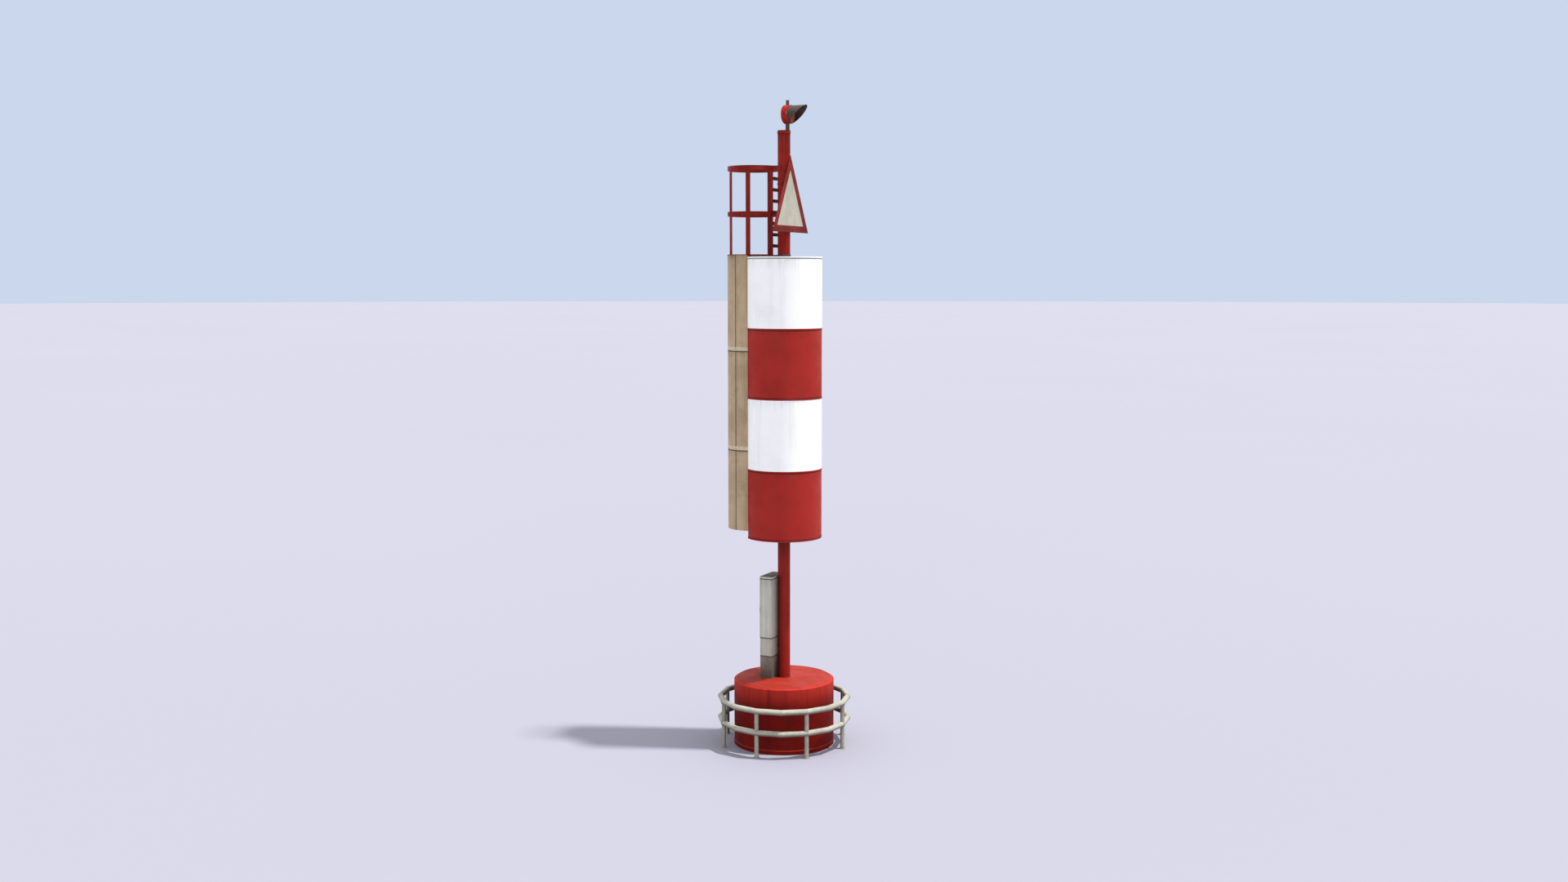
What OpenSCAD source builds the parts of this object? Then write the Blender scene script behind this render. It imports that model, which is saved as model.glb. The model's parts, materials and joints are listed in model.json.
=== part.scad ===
// Leading-light beacon tower: banded daymark drum with a ladder shaft, a triangle topmark and a
// hooded signal lamp on a tubular mast. Origin: mast axis at ground level. +Z up, +X is the way
// the lamp and the topmark face, so the ladder shaft and the cabinet are on -X.

/* [Foundation and guard ring] */
// Radius of the round foundation
foundation_r = 1380; // [1340:5:1400]
// Height of the foundation's flat top
foundation_h = 1840; // [1800:5:1900]
// Radius of the guard ring, from the mast axis to the corners of its rails
guard_r = 1760; // [1740:5:1800]
// Diameter of the pipe of the two rails
rail_d = 155; // [140:1:160]
// Height of the top rail's middle
rail_top_z = 1276; // [1240:1:1300]
// Height of the lower rail's middle
rail_low_z = 684; // [660:1:720]
// Outer diameter of a guard post
post_d = 110; // [100:1:120]

/* [Mast and daymark drum] */
// Outer diameter of the mast
mast_d = 340; // [336:1:344]
// Height of the mast's flat top
mast_top_z = 16781; // [16700:1:16850]
// Outer radius of the daymark drum
drum_r = 1030; // [1020:1:1040]
// Lower edge of the drum
drum_z = 5762; // [5740:1:5780]
// Height of one painted band
band_h = 1912.5; // [1900:0.5:1920]

/* [Ladder shaft and cage] */
// Distance of the shaft's middle behind the mast axis
shaft_x = 910; // [905:1:915]
// Outer radius of the ladder shaft
shaft_r = 715; // [710:1:720]
// Lower edge of the shaft
shaft_z = 5967; // [5950:1:6000]
// Upper edge of the shaft
shaft_top_z = 13457; // [13440:1:13470]
// Upper edge of the cage's top hoop
cage_top_z = 15846; // [15800:1:15900]
// Distance from one rung to the next
rung_pitch = 300; // [295:1:300]

/* [Topmark] */
// Width of the triangle at its foot
topmark_w = 2300; // [2200:10:2400]
// Height of the triangle
topmark_h = 2048; // [2000:1:2100]
// Lower edge of the triangle
topmark_z = 14069; // [14050:1:14100]
// Width of the border bars
topmark_border = 175; // [160:1:190]

/* [Cabinet] */
// Width of the cabinet across the mast
cabinet_w = 774; // [760:1:780]
// Rear face of the cabinet door, behind the mast axis
cabinet_back_x = 560; // [556:1:570]
// Height of the cabinet's top
cabinet_top_z = 4694; // [4680:1:4720]

/* [Lamp] */
// Height of the lamp's axis
lamp_z = 17200; // [17190:1:17220]
// Outer radius of the lamp housing
lamp_r = 248; // [244:1:250]
// Distance of the lamp's swivel axis in front of the mast axis
swivel_x = 105; // [100:1:105]
// Furthest reach of the hood in front of the mast axis
hood_tip_x = 657; // [640:1:670]

/* [Hidden] */
$fn = 96;

weld_gap = 1;            // room left between curved faces that are welded together
cut = 1;                 // how far a cutter runs past the face it opens
through = 20;            // how far a round cutter runs past the wall it pierces

// foundation
shell_t = 12;
bevel_w = 95;
bevel_h = 55;
skirt_h = 110;
skirt_proud = 8;
socket_z = 600;

// guard ring
post_count = 8;
rail_lengths = 2 * post_count;   // straight pipes in a rail, mitred at each post and half way between
mitre = 180 / rail_lengths;
rail_wall = 8;
post_wall = 6;
foot_r = 90;
foot_t = 12;
foot_bolt_r = 74;
foot_hole_r = 7;
foot_bolts = 4;

// mast
mast_r = mast_d / 2;
mast_wall = 12;
mast_bore_r = mast_r - mast_wall;
cap_t = 12;
cap_skirt_h = 100;
cap_proud = 6;
cable_hole_r = 30;
gland_z = 2700;
gland_bore_r = 16;

// drum
drum_wall = 6;
drum_bore_r = drum_r - drum_wall;
rim_h = 48;
rim_proud = 6;
drum_top_z = drum_z + 4 * band_h;
plate_t = 6;
plate_inset = 40;
plate_gap = 2;
frame_h = 60;
frame_bar_t = 10;
frame_hub_t = 14;
frame_arm_angles = [0, 80, -80];
frame_count = 5;
frame_clearance = 20;    // from a frame to the shaft, and from the ladder's cut-out to the mast
frame_end_gap = 60;      // from the drum's edge to the first frame
frame_step = (4 * band_h - 2 * frame_end_gap - frame_h) / (frame_count - 1);
frame_levels = [for (i = [0:frame_count - 1]) drum_z + frame_end_gap + i * frame_step];
opening_half_w = 240;    // half of the ladder's cut-out in the deck, the floor and the frames
opening_back_x = -400;

// shaft, cage and ladder
shaft_wall = 6;
shaft_bore_r = shaft_r - shaft_wall;
shaft_joints = [shaft_z, 8192, 10898, shaft_top_z];
collar_h = 26;
collar_proud = 4;
groove_w = 8;
groove_depth = 3;
groove_angle = 72;
hoop_r = 706;
hoop_t = 10;
hoop_h = 116;
base_hoop_h = 20;
base_hoop_proud = 3;
hoop_gap_x = -500;       // from here to the mast a hoop is cut open between the stiles
mid_hoop_z = 14509;
strip_w = 120;
strip_t = 10;
strip_gap = 4;
strip_r = hoop_r - hoop_t - strip_t - strip_gap;
strip_angles = [-102.9, -51.4, 0, 51.4, 102.9];
strip_foot_z = shaft_top_z - 90;
ladder_x = -255;
stile_y = 215;
stile_w = 60;
stile_t = 12;
rung_h = 90;             // a rung is a length of box section that stands on edge
rung_d = 44;
rung_wall = 4;
rung_chamfer = 7;
first_rung_z = shaft_z + 240;
last_rung_gap = 200;     // least distance from the last rung to the top of the cage
rung_count = floor((cage_top_z - last_rung_gap - first_rung_z) / rung_pitch) + 1;
bracket_h = 60;
mid_bracket_drop = 10;   // keeps the bracket at the middle hoop clear of the rung above it
bracket_rungs = [1, 7, 14, 20];    // the lower brackets are half way above these rungs
bracket_feet = [for (i = bracket_rungs) first_rung_z + (i + 0.5) * rung_pitch - bracket_h / 2];
bracket_spans = concat(
    [for (z = bracket_feet) [z, z + bracket_h]],
    [[mid_hoop_z - mid_bracket_drop, mid_hoop_z - mid_bracket_drop + bracket_h]],
    [[cage_top_z - hoop_h, cage_top_z]]
);
bracket_t = 10;
bracket_gap = 2;         // from a bracket's arm to the inner face of its stile
bracket_root = 6;        // from the mast to the root of a bracket's spoke
clamp_r = mast_r + weld_gap + bracket_t;

// topmark
topmark_x = 200;         // front face of the border bars
border_t = 10;
panel_t = 6;
half_w = topmark_w / 2;
base_angle = atan(topmark_h / half_w);
apex_angle = atan(half_w / topmark_h);
inner_half_w = half_w - topmark_border / tan(base_angle / 2);
inner_apex_z = topmark_h - topmark_border / sin(apex_angle);
carriers = [[14380, 820], [15330, 290]];    // lower edge of each carrier, half of its width
carrier_h = 60;
carrier_t = 10;
carrier_flange_t = 8;
carrier_depth = 44;
carrier_root_y = 40;     // inner end of a carrier's arm, inside the clamp
flange_root_y = 110;

// cabinet
cabinet_front_x = -190;
door_t = 14;
case_back_x = -cabinet_back_x + door_t + 1;
half_cab = cabinet_w / 2;
plinth_top_z = 2447;
case_top_z = 2957;
housing_top_z = cabinet_top_z - 88;
sheet_t = 3;
seam = 0.5;              // room left between flat sheets that are welded together
lip_w = 32;
lid_over = 8;
lid_rise = 22;           // height of the lid's sloping top
lid_flat_inset = 60;
lid_wall = 20;
lid_roof = 40;
door_gap = 8;
cover_screw_r = 8;
cover_screw_inset = 18;
hinge_x = case_back_x - 1;
hinge_y = half_cab + 9;
knuckle_r = 7;
knuckle_h = 56;
hinge_pin_r = 3;
cabinet_pin_head_t = 3.5;
hinge_levels = [3200, 3780, 4360];
handle_y = -(half_cab - 57);
handle_z = 3780;
spindle_r = 6;
spindle_stub = 24;       // how far the spindle stands out of the door
spindle_boss_r = 20;
collar_r = 16;
collar_t = 11;
grip_w = 20;
grip_l = 130;
grip_t = 12;
cam_l = 44;
cam_w = 18;
cam_t = 5;
cam_gap = 3;             // room between the case's lip and the cam behind it
shelf_z = 3560;
shelf_h = 30;
shelf_back_gap = 40;
battery_low = [-490, 25];    // corners of the battery on the +Y side, seen from above
battery_high = [-230, 345];
battery_h = 300;
battery_lid_h = 25;
battery_lid_inset = 6;
terminal_r = 12;
terminal_h = 20;
terminal_inset = 40;
terminal_y = 80;
backplate = [12, 600, 3700, 4500];      // thickness, width, lower and upper edge
charger = [120, 440, 4050, 4400];
terminal_strip = [80, 500, 3780, 3930];
gland_nut_r = 34;
gland_nut_t = 8;
gland_r = 24;

// lamp
running_gap = 0.05;      // radial play of a pin in its bore
side_play = 0.5;         // end play of a pin or a hub
housing_wall = 6;
housing_back_x = 30;
housing_front_x = 215;
housing_lip_w = 48;
housing_lip_t = 5;
bezel_front_x = 236;
bezel_r = lamp_r - 8;
bezel_lip_w = 5;
bezel_lip_t = 6;
hood_r = lamp_r - 12;
hood_wall = 3;
hood_slope = 46.7;       // slant of the hood's mouth above the horizontal
stem_r = 55;
stem_bore_r = 45;
stem_flange_r = 69;
stem_flange_t = 10;
stem_top_z = lamp_z - 275;
spigot_z = mast_top_z + 20;
post_r = 42.5;
post_bore_r = 34;
stub_r = 43.5;
stub_z = lamp_z + lamp_r + 2;
stub_top_z = 17574;
stub_end_t = 20;
wire_hole_r = 15;
wire_hole_z = lamp_z - 60;
board_x = 186;
board_t = 4;
board_r = lamp_r - 14;
board_foot_r = 28;
led_rings = [[1, 0], [6, 55], [12, 110], [18, 165]];    // number of LEDs, radius of their ring
led_r = 8;
led_base_t = 3;
led_tip_r = 4;
led_tip_h = 6;
lens_r = 195;
lens_edge_t = 7;
lamp_hinge_x = housing_front_x + 0.5;
lamp_hinge_y = lamp_r + 16;
lamp_hinge_arm = 16;
lamp_knuckle_r = 9;
lamp_knuckle_h = 31;     // half the bezel's knuckle, and each knuckle of the housing
lamp_pin_r = 4;
lamp_pin_head_t = 4.5;
latch_x = 190;
latch_reach = 36;        // from the latch's stud to the bezel's keeper pin
latch_y = -(lamp_r + 10);
latch_t = 5;
latch_hub_r = 12;
latch_front = 9;         // how far the hook's bar reaches before and behind its middle line
latch_back = 13;
latch_tab_l = 26;
latch_tab_w = 8;
throat_r = 6.5;
stud_head_r = 7;
stud_head_t = 3;
stud_root = 3;           // how far the latch's stud is sunk in the housing
keeper_r = 4;
keeper_depth = 13;
keeper_stand = 24;

red = [0.63, 0.19, 0.17];
dark_red = [0.45, 0.12, 0.10];
white = [0.95, 0.95, 0.93];
beige = [0.66, 0.58, 0.46];
rail_cream = [0.78, 0.78, 0.70];
cabinet_grey = [0.72, 0.72, 0.68];
dark_grey = [0.27, 0.25, 0.25];
zinc = [0.62, 0.64, 0.65];
concrete = [0.55, 0.54, 0.51];
board_green = [0.12, 0.30, 0.18];
warm_white = [0.9, 0.75, 0.4];
amber = [0.85, 0.45, 0.05];

// a straight ring round the mast axis
module ring(r_in, r_out, z0, z1) {
    rotate_extrude() translate([r_in, z0]) square([r_out - r_in, z1 - z0]);
}

// a straight cylinder between two heights
module disc(r, z0, z1) {
    translate([0, 0, z0]) cylinder(r = r, h = z1 - z0);
}

// a block given by its two corners
module block(low, high) {
    translate(low) cube(high - low);
}

module at_shaft() {
    translate([-shaft_x, 0, 0]) children();
}

// turns a solid of revolution on to the lamp's axis, which runs along +X
module on_lamp_axis() {
    translate([0, 0, lamp_z]) rotate([0, 90, 0]) children();
}

// ---------- foundation and guard ring ----------

module foundation_shell() {
    color(red) rotate_extrude() polygon([
        [foundation_r + skirt_proud, 0],
        [foundation_r + skirt_proud, skirt_h],
        [foundation_r, skirt_h + skirt_proud],
        [foundation_r, foundation_h - bevel_h],
        [foundation_r - bevel_w, foundation_h],
        [mast_r + weld_gap, foundation_h],
        [mast_r + weld_gap, foundation_h - shell_t],
        [foundation_r - bevel_w - shell_t, foundation_h - shell_t],
        [foundation_r - shell_t, foundation_h - bevel_h - shell_t],
        [foundation_r - shell_t, 0]
    ]);
}

module foundation_core() {
    core_r = foundation_r - shell_t - weld_gap;
    core_top = foundation_h - shell_t - weld_gap;
    color(concrete) rotate_extrude() polygon([
        [0, 0],
        [core_r, 0],
        [core_r, core_top - bevel_h],
        [core_r - bevel_w, core_top],
        [mast_r + weld_gap, core_top],
        [mast_r + weld_gap, socket_z],
        [0, socket_z]
    ]);
}

// a straight bar through the +X side of the ring, cut square to the ring at its two corners
module mitred_bar(z, r, gap) {
    far = 2 * guard_r;
    intersection() {
        translate([guard_r * cos(mitre), 0, z]) rotate([90, 0, 0])
            cylinder(r = r, h = guard_r, center = true);
        translate([gap / 2 / sin(mitre), 0, z - rail_d]) linear_extrude(height = 2 * rail_d)
            polygon([[0, 0], [far, far * tan(mitre)], [far, -far * tan(mitre)]]);
    }
}

module rail(z) {
    for (i = [0:rail_lengths - 1]) rotate([0, 0, (2 * i + 1) * mitre]) difference() {
        mitred_bar(z, rail_d / 2, weld_gap);
        mitred_bar(z, rail_d / 2 - rail_wall, 0);
    }
}

module guard_rail_top() {
    color(rail_cream) rail(rail_top_z);
}

module guard_rail_lower() {
    color(rail_cream) rail(rail_low_z);
}

module post_tube(z0, z1) {
    difference() {
        disc(post_d / 2, z0, z1);
        disc(post_d / 2 - post_wall, z0 - cut, z1 + cut);
    }
}

module guard_post(number) {
    color(rail_cream) rotate([0, 0, (number - 1) * 360 / post_count]) difference() {
        translate([guard_r, 0, 0]) {
            post_tube(foot_t - cut, rail_low_z);
            post_tube(rail_low_z, rail_top_z);
            difference() {
                disc(foot_r, 0, foot_t);
                for (i = [0:foot_bolts - 1])
                    rotate([0, 0, 45 + i * 360 / foot_bolts]) translate([foot_bolt_r, 0, 0])
                        disc(foot_hole_r, -cut, foot_t + cut);
            }
        }
        for (side = [-1, 1], z = [rail_low_z, rail_top_z])
            rotate([0, 0, side * mitre]) mitred_bar(z, rail_d / 2 + weld_gap, -cut);
    }
}

// ---------- mast ----------

module mast_tube() {
    color(red) difference() {
        ring(mast_bore_r, mast_r, socket_z, mast_top_z - cap_t);
        translate([-mast_r - cut, 0, gland_z]) rotate([0, 90, 0])
            cylinder(r = gland_bore_r, h = mast_wall + through);
    }
}

module mast_cap() {
    color(red) difference() {
        rotate_extrude() polygon([
            [0, mast_top_z - cap_t],
            [mast_r + weld_gap, mast_top_z - cap_t],
            [mast_r + weld_gap, mast_top_z - cap_skirt_h],
            [mast_r + cap_proud, mast_top_z - cap_skirt_h],
            [mast_r + cap_proud, mast_top_z],
            [0, mast_top_z]
        ]);
        translate([swivel_x, 0, 0]) disc(cable_hole_r, mast_top_z - cap_t - cut, mast_top_z + cut);
    }
}

// ---------- daymark drum ----------

module shaft_cutter(extra) {
    at_shaft() disc(shaft_r + extra, drum_z - cut, drum_top_z + cut);
}

module daymark_band(number, paint) {
    z0 = drum_z + (number - 1) * band_h;
    z1 = z0 + band_h - weld_gap;
    color(paint) difference() {
        rotate_extrude() polygon([
            [drum_bore_r, z0],
            [drum_r + rim_proud, z0],
            [drum_r + rim_proud, z0 + rim_h - rim_proud],
            [drum_r, z0 + rim_h],
            [drum_r, z1 - rim_h],
            [drum_r + rim_proud, z1 - rim_h + rim_proud],
            [drum_r + rim_proud, z1],
            [drum_bore_r, z1]
        ]);
        shaft_cutter(weld_gap);
    }
}

// a white band is plain, with only a shallow rolled edge at its very top
module daymark_band_plain(number, lip_h) {
    z0 = drum_z + (number - 1) * band_h;
    z1 = z0 + band_h - weld_gap;
    color(white) difference() {
        rotate_extrude() polygon([
            [drum_bore_r, z0],
            [drum_r, z0],
            [drum_r, z1 - lip_h],
            [drum_r + (lip_h > 0 ? rim_proud : 0), z1 - lip_h + (lip_h > 0 ? rim_proud : 0)],
            [drum_r + (lip_h > 0 ? rim_proud : 0), z1],
            [drum_bore_r, z1]
        ]);
        shaft_cutter(weld_gap);
    }
}

module drum_plate(z0) {
    difference() {
        disc(drum_bore_r - plate_gap, z0, z0 + plate_t);
        disc(mast_r + plate_gap, z0 - cut, z0 + plate_t + cut);
        shaft_cutter(weld_gap);
        block([opening_back_x, -opening_half_w, z0 - cut], [-mast_r / 2, opening_half_w, z0 + plate_t + cut]);
    }
}

module daymark_deck() {
    color(dark_red) drum_plate(drum_top_z - plate_inset);
}

module daymark_floor() {
    color(dark_red) drum_plate(drum_z + plate_inset - plate_t);
}

module drum_frame(z0) {
    rim_r = drum_bore_r - plate_gap;
    difference() {
        union() {
            ring(mast_r + weld_gap, mast_r + frame_hub_t, z0, z0 + frame_h);
            ring(rim_r - frame_bar_t, rim_r, z0, z0 + frame_h);
            for (a = frame_arm_angles)
                rotate([0, 0, a])
                    block([mast_r + frame_hub_t / 2, -frame_bar_t / 2, z0],
                          [rim_r - frame_bar_t / 2, frame_bar_t / 2, z0 + frame_h]);
        }
        shaft_cutter(frame_clearance);
        block([opening_back_x, -opening_half_w, z0 - cut],
              [-mast_r - frame_clearance, opening_half_w, z0 + frame_h + cut]);
    }
}

module daymark_frames() {
    color(zinc) for (z = frame_levels) drum_frame(z);
}

// ---------- ladder shaft and cage ----------

module shaft_section(number) {
    z0 = shaft_joints[number - 1];
    z1 = shaft_joints[number] - weld_gap;
    color(beige) difference() {
        at_shaft() rotate_extrude() polygon([
            [shaft_bore_r, z0],
            [shaft_r, z0],
            [shaft_r, z1 - collar_h],
            [shaft_r + collar_proud, z1 - collar_h],
            [shaft_r + collar_proud, z1],
            [shaft_bore_r, z1]
        ]);
        disc(drum_r + weld_gap, z0 - cut, z1 + cut);
        at_shaft() for (side = [-1, 1])
            rotate([0, 0, 180 + side * groove_angle])
                block([shaft_r - groove_depth, -groove_w / 2, z0 - cut],
                      [shaft_r + collar_proud + cut, groove_w / 2, z1 - collar_h]);
    }
}

// a flat-bar hoop round the climber, open where the ladder closes it
module hoop(r_in, r_out, z0, z1) {
    difference() {
        at_shaft() ring(r_in, r_out, z0, z1);
        block([hoop_gap_x, -stile_y - stile_t / 2 - weld_gap, z0 - cut],
              [0, stile_y + stile_t / 2 + weld_gap, z1 + cut]);
    }
}

module cage_base_hoop() {
    color(dark_red) hoop(hoop_r - hoop_t, shaft_r + base_hoop_proud, shaft_top_z, shaft_top_z + base_hoop_h);
}

module cage_mid_hoop() {
    color(red) hoop(hoop_r - hoop_t, hoop_r, mid_hoop_z, mid_hoop_z + hoop_h);
}

module cage_top_hoop() {
    color(red) hoop(hoop_r - hoop_t, hoop_r, cage_top_z - hoop_h, cage_top_z);
}

module cage_strips() {
    color(red) at_shaft() for (a = strip_angles)
        rotate([0, 0, 180 + a])
            block([strip_r, -strip_w / 2, strip_foot_z],
                  [strip_r + strip_t, strip_w / 2, cage_top_z - strip_gap]);
}

module ladder_stile(side) {
    color(red) block([ladder_x - stile_w / 2, side * stile_y - stile_t / 2, shaft_z + stile_w],
                     [ladder_x + stile_w / 2, side * stile_y + stile_t / 2, cage_top_z]);
}

module ladder_stile_left() {
    ladder_stile(1);
}

module ladder_stile_right() {
    ladder_stile(-1);
}

// box section with chamfered corners, (depth, height)
module rung_section() {
    x = rung_d / 2;
    y = rung_h / 2;
    difference() {
        polygon([
            [x, rung_chamfer - y],
            [x, y - rung_chamfer],
            [x - rung_chamfer, y],
            [rung_chamfer - x, y],
            [-x, y - rung_chamfer],
            [-x, rung_chamfer - y],
            [rung_chamfer - x, -y],
            [x - rung_chamfer, -y]
        ]);
        square([rung_d - 2 * rung_wall, rung_h - 2 * rung_wall], center = true);
    }
}

module ladder_rungs() {
    length = 2 * stile_y - stile_t;
    color(red) for (i = [0:rung_count - 1])
        translate([ladder_x, -length / 2, first_rung_z + i * rung_pitch])
            rotate([-90, 0, 0]) linear_extrude(height = length) rung_section();
}

module ladder_bracket(z0, z1) {
    ring(mast_r + weld_gap, clamp_r, z0, z1);
    arm_y = stile_y - stile_t / 2 - bracket_gap - bracket_t;
    for (side = [0, 1]) mirror([0, side, 0]) {
        block([ladder_x - stile_w / 2, arm_y, z0], [0, arm_y + bracket_t, z1]);
        block([-bracket_t, mast_r + bracket_root, z0], [0, arm_y + bracket_t / 2, z1]);
    }
}

module ladder_brackets() {
    color(dark_red) for (span = bracket_spans) ladder_bracket(span[0], span[1]);
}

// ---------- topmark ----------

// stands a drawing of the triangle (across, up) upright, from x0 to x0 + t
module upright(x0, t) {
    translate([x0, 0, topmark_z]) rotate([90, 0, 90]) linear_extrude(height = t) children();
}

module topmark_panel() {
    margin = 12;
    color(white) upright(topmark_x - border_t - panel_t, panel_t) polygon([
        [-half_w + 2 * margin, margin],
        [half_w - 2 * margin, margin],
        [0, topmark_h - 3 * margin]
    ]);
}

module topmark_side(side) {
    color(red) upright(topmark_x - border_t, border_t) polygon([
        [side * half_w, 0],
        [side * inner_half_w, topmark_border],
        [0, inner_apex_z],
        [0, topmark_h]
    ]);
}

module topmark_frame_left() {
    topmark_side(1);
}

module topmark_frame_right() {
    topmark_side(-1);
}

module topmark_frame_bottom() {
    color(red) upright(topmark_x - border_t, border_t) polygon([
        [-half_w, 0],
        [half_w, 0],
        [inner_half_w, topmark_border],
        [-inner_half_w, topmark_border]
    ]);
}

// a clamp round the mast with two arms, each a bar with a flange on which the panel rests
module topmark_carrier(z0, half_l) {
    back_x = topmark_x - border_t - panel_t;
    z1 = z0 + carrier_h;
    difference() {
        union() {
            disc(clamp_r, z0, z1);
            for (side = [0, 1]) mirror([0, side, 0]) {
                block([back_x - carrier_depth, carrier_root_y, z0],
                      [back_x - carrier_depth + carrier_t, half_l, z1]);
                block([back_x - carrier_depth, flange_root_y, z1 - carrier_flange_t], [back_x, half_l, z1]);
            }
        }
        disc(mast_r + weld_gap, z0 - cut, z1 + cut);
    }
}

module topmark_carriers() {
    color(dark_red) for (carrier = carriers) topmark_carrier(carrier[0], carrier[1]);
}

// ---------- cabinet ----------

module cabinet_plinth() {
    color(concrete) block([case_back_x, -half_cab, foundation_h],
                          [cabinet_front_x, half_cab, plinth_top_z]);
}

// a sheet-metal box between two heights, welded from flat sheets: its -X side is open, and four
// lips stand round the opening
module welded_case(z0, z1) {
    x0 = case_back_x;
    x1 = cabinet_front_x;
    low = z0 + sheet_t + seam;
    high = z1 - sheet_t - seam;
    inner_y = half_cab - sheet_t;
    for (z = [z0, z1 - sheet_t]) block([x0, -half_cab, z], [x1, half_cab, z + sheet_t]);
    block([x1 - sheet_t, -half_cab, low], [x1, half_cab, high]);
    for (side = [0, 1]) mirror([0, side, 0]) {
        block([x0, inner_y, low], [x1 - sheet_t - seam, half_cab, high]);
        block([x0, half_cab - lip_w, low], [x0 + sheet_t, inner_y - seam, high]);
    }
    for (z = [low, high - lip_w])
        block([x0, lip_w + seam - half_cab, z], [x0 + sheet_t, half_cab - lip_w - seam, z + lip_w]);
}

module cabinet_battery_case() {
    color(cabinet_grey) difference() {
        welded_case(plinth_top_z, case_top_z);
        translate([cabinet_front_x - 2 * sheet_t, 0, gland_z]) rotate([0, 90, 0])
            cylinder(r = gland_bore_r, h = 3 * sheet_t);
    }
}

module cabinet_battery_cover() {
    x0 = case_back_x - sheet_t - 1;
    z0 = plinth_top_z + door_gap;
    z1 = case_top_z - door_gap;
    screw_y = half_cab - door_gap - cover_screw_inset;
    screw_h = 5;
    color(cabinet_grey) {
        block([x0, -half_cab + door_gap, z0], [x0 + sheet_t, half_cab - door_gap, z1]);
        for (y = [-screw_y, screw_y], z = [z0 + cover_screw_inset, z1 - cover_screw_inset])
            translate([x0 - screw_h + cut, y, z]) rotate([0, 90, 0]) cylinder(r = cover_screw_r, h = screw_h);
    }
}

module on_hinge_line() {
    translate([hinge_x, hinge_y, 0]) children();
}

module cabinet_housing() {
    color(cabinet_grey) {
        welded_case(case_top_z, housing_top_z);
        for (z = hinge_levels) difference() {
            low = z - knuckle_h;
            high = z - knuckle_h / 2 - 0.5;
            union() {
                on_hinge_line() disc(knuckle_r, low, high);
                block([hinge_x + 1, half_cab + seam, low], [hinge_x + knuckle_r, hinge_y, high]);
            }
            on_hinge_line() disc(hinge_pin_r + running_gap, low - cut, high + cut);
        }
    }
}

module cabinet_lid() {
    eaves_z = cabinet_top_z - lid_rise;
    color(cabinet_grey) difference() {
        hull() {
            block([case_back_x - lid_over, -half_cab - lid_over, housing_top_z + 1],
                  [cabinet_front_x + lid_over, half_cab + lid_over, eaves_z]);
            block([case_back_x + lid_flat_inset, -half_cab + lid_flat_inset, cabinet_top_z - 1],
                  [cabinet_front_x - lid_flat_inset, half_cab - lid_flat_inset, cabinet_top_z]);
        }
        block([case_back_x + lid_wall, -half_cab + lid_wall, housing_top_z],
              [cabinet_front_x - lid_wall, half_cab - lid_wall, cabinet_top_z - lid_roof]);
    }
}

// a pan-shaped door with its edges folded inwards
module cabinet_door() {
    x0 = -cabinet_back_x;
    x1 = case_back_x - 1;
    y = half_cab - door_gap;
    z0 = case_top_z + door_gap;
    z1 = housing_top_z - door_gap;
    color(cabinet_grey) difference() {
        union() {
            block([x0, -y, z0], [x1, y, z1]);
            for (z = hinge_levels) {
                on_hinge_line() disc(knuckle_r, z - knuckle_h / 2, z + knuckle_h / 2);
                block([x0 + 2, y - 1, z - knuckle_h / 2], [x1, hinge_y, z + knuckle_h / 2]);
            }
        }
        difference() {
            block([x0 + sheet_t, -y + sheet_t, z0 + sheet_t], [x1 + cut, y - sheet_t, z1 - sheet_t]);
            translate([x0, handle_y, handle_z]) rotate([0, 90, 0]) cylinder(r = spindle_boss_r, h = door_t);
        }
        for (z = hinge_levels) on_hinge_line() disc(hinge_pin_r + running_gap, z - knuckle_h, z + knuckle_h);
        translate([x0 - cut, handle_y, handle_z]) rotate([0, 90, 0])
            cylinder(r = spindle_r + running_gap, h = door_t + through);
    }
}

module cabinet_hinge_pins() {
    head_z = knuckle_h / 2 + side_play;
    color(zinc) on_hinge_line() for (z = hinge_levels) {
        disc(hinge_pin_r, z - knuckle_h, z + head_z + cut);
        disc(hinge_pin_r + 2, z + head_z, z + head_z + cabinet_pin_head_t);
    }
}

// grip and collar outside the door, spindle through it, and the cam that catches behind the lip
module cabinet_handle() {
    door_x = -cabinet_back_x;
    grip_x = door_x - spindle_stub;
    cam_x = case_back_x + sheet_t + cam_gap;
    color(dark_grey) translate([0, handle_y, handle_z]) {
        translate([grip_x, 0, 0]) rotate([0, 90, 0]) cylinder(r = spindle_r, h = cam_x + cam_t - grip_x);
        translate([grip_x + grip_t, 0, 0]) rotate([0, 90, 0]) cylinder(r = collar_r, h = collar_t);
        block([grip_x, -grip_w / 2, -grip_l], [grip_x + grip_t, grip_w / 2, grip_w / 2 + 2]);
        block([cam_x, -cam_w / 2, -cam_w / 2], [cam_x + cam_t, cam_w / 2, cam_l]);
    }
}

// a tray whose rim is folded down
module cabinet_shelf() {
    x0 = case_back_x + shelf_back_gap;
    x1 = cabinet_front_x - sheet_t - seam;
    y = half_cab - sheet_t - seam;
    color(zinc) difference() {
        block([x0, -y, shelf_z], [x1, y, shelf_z + shelf_h]);
        block([x0 - cut, -y + sheet_t, shelf_z - cut],
              [x1 - sheet_t, y - sheet_t, shelf_z + shelf_h - sheet_t]);
    }
}

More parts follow.
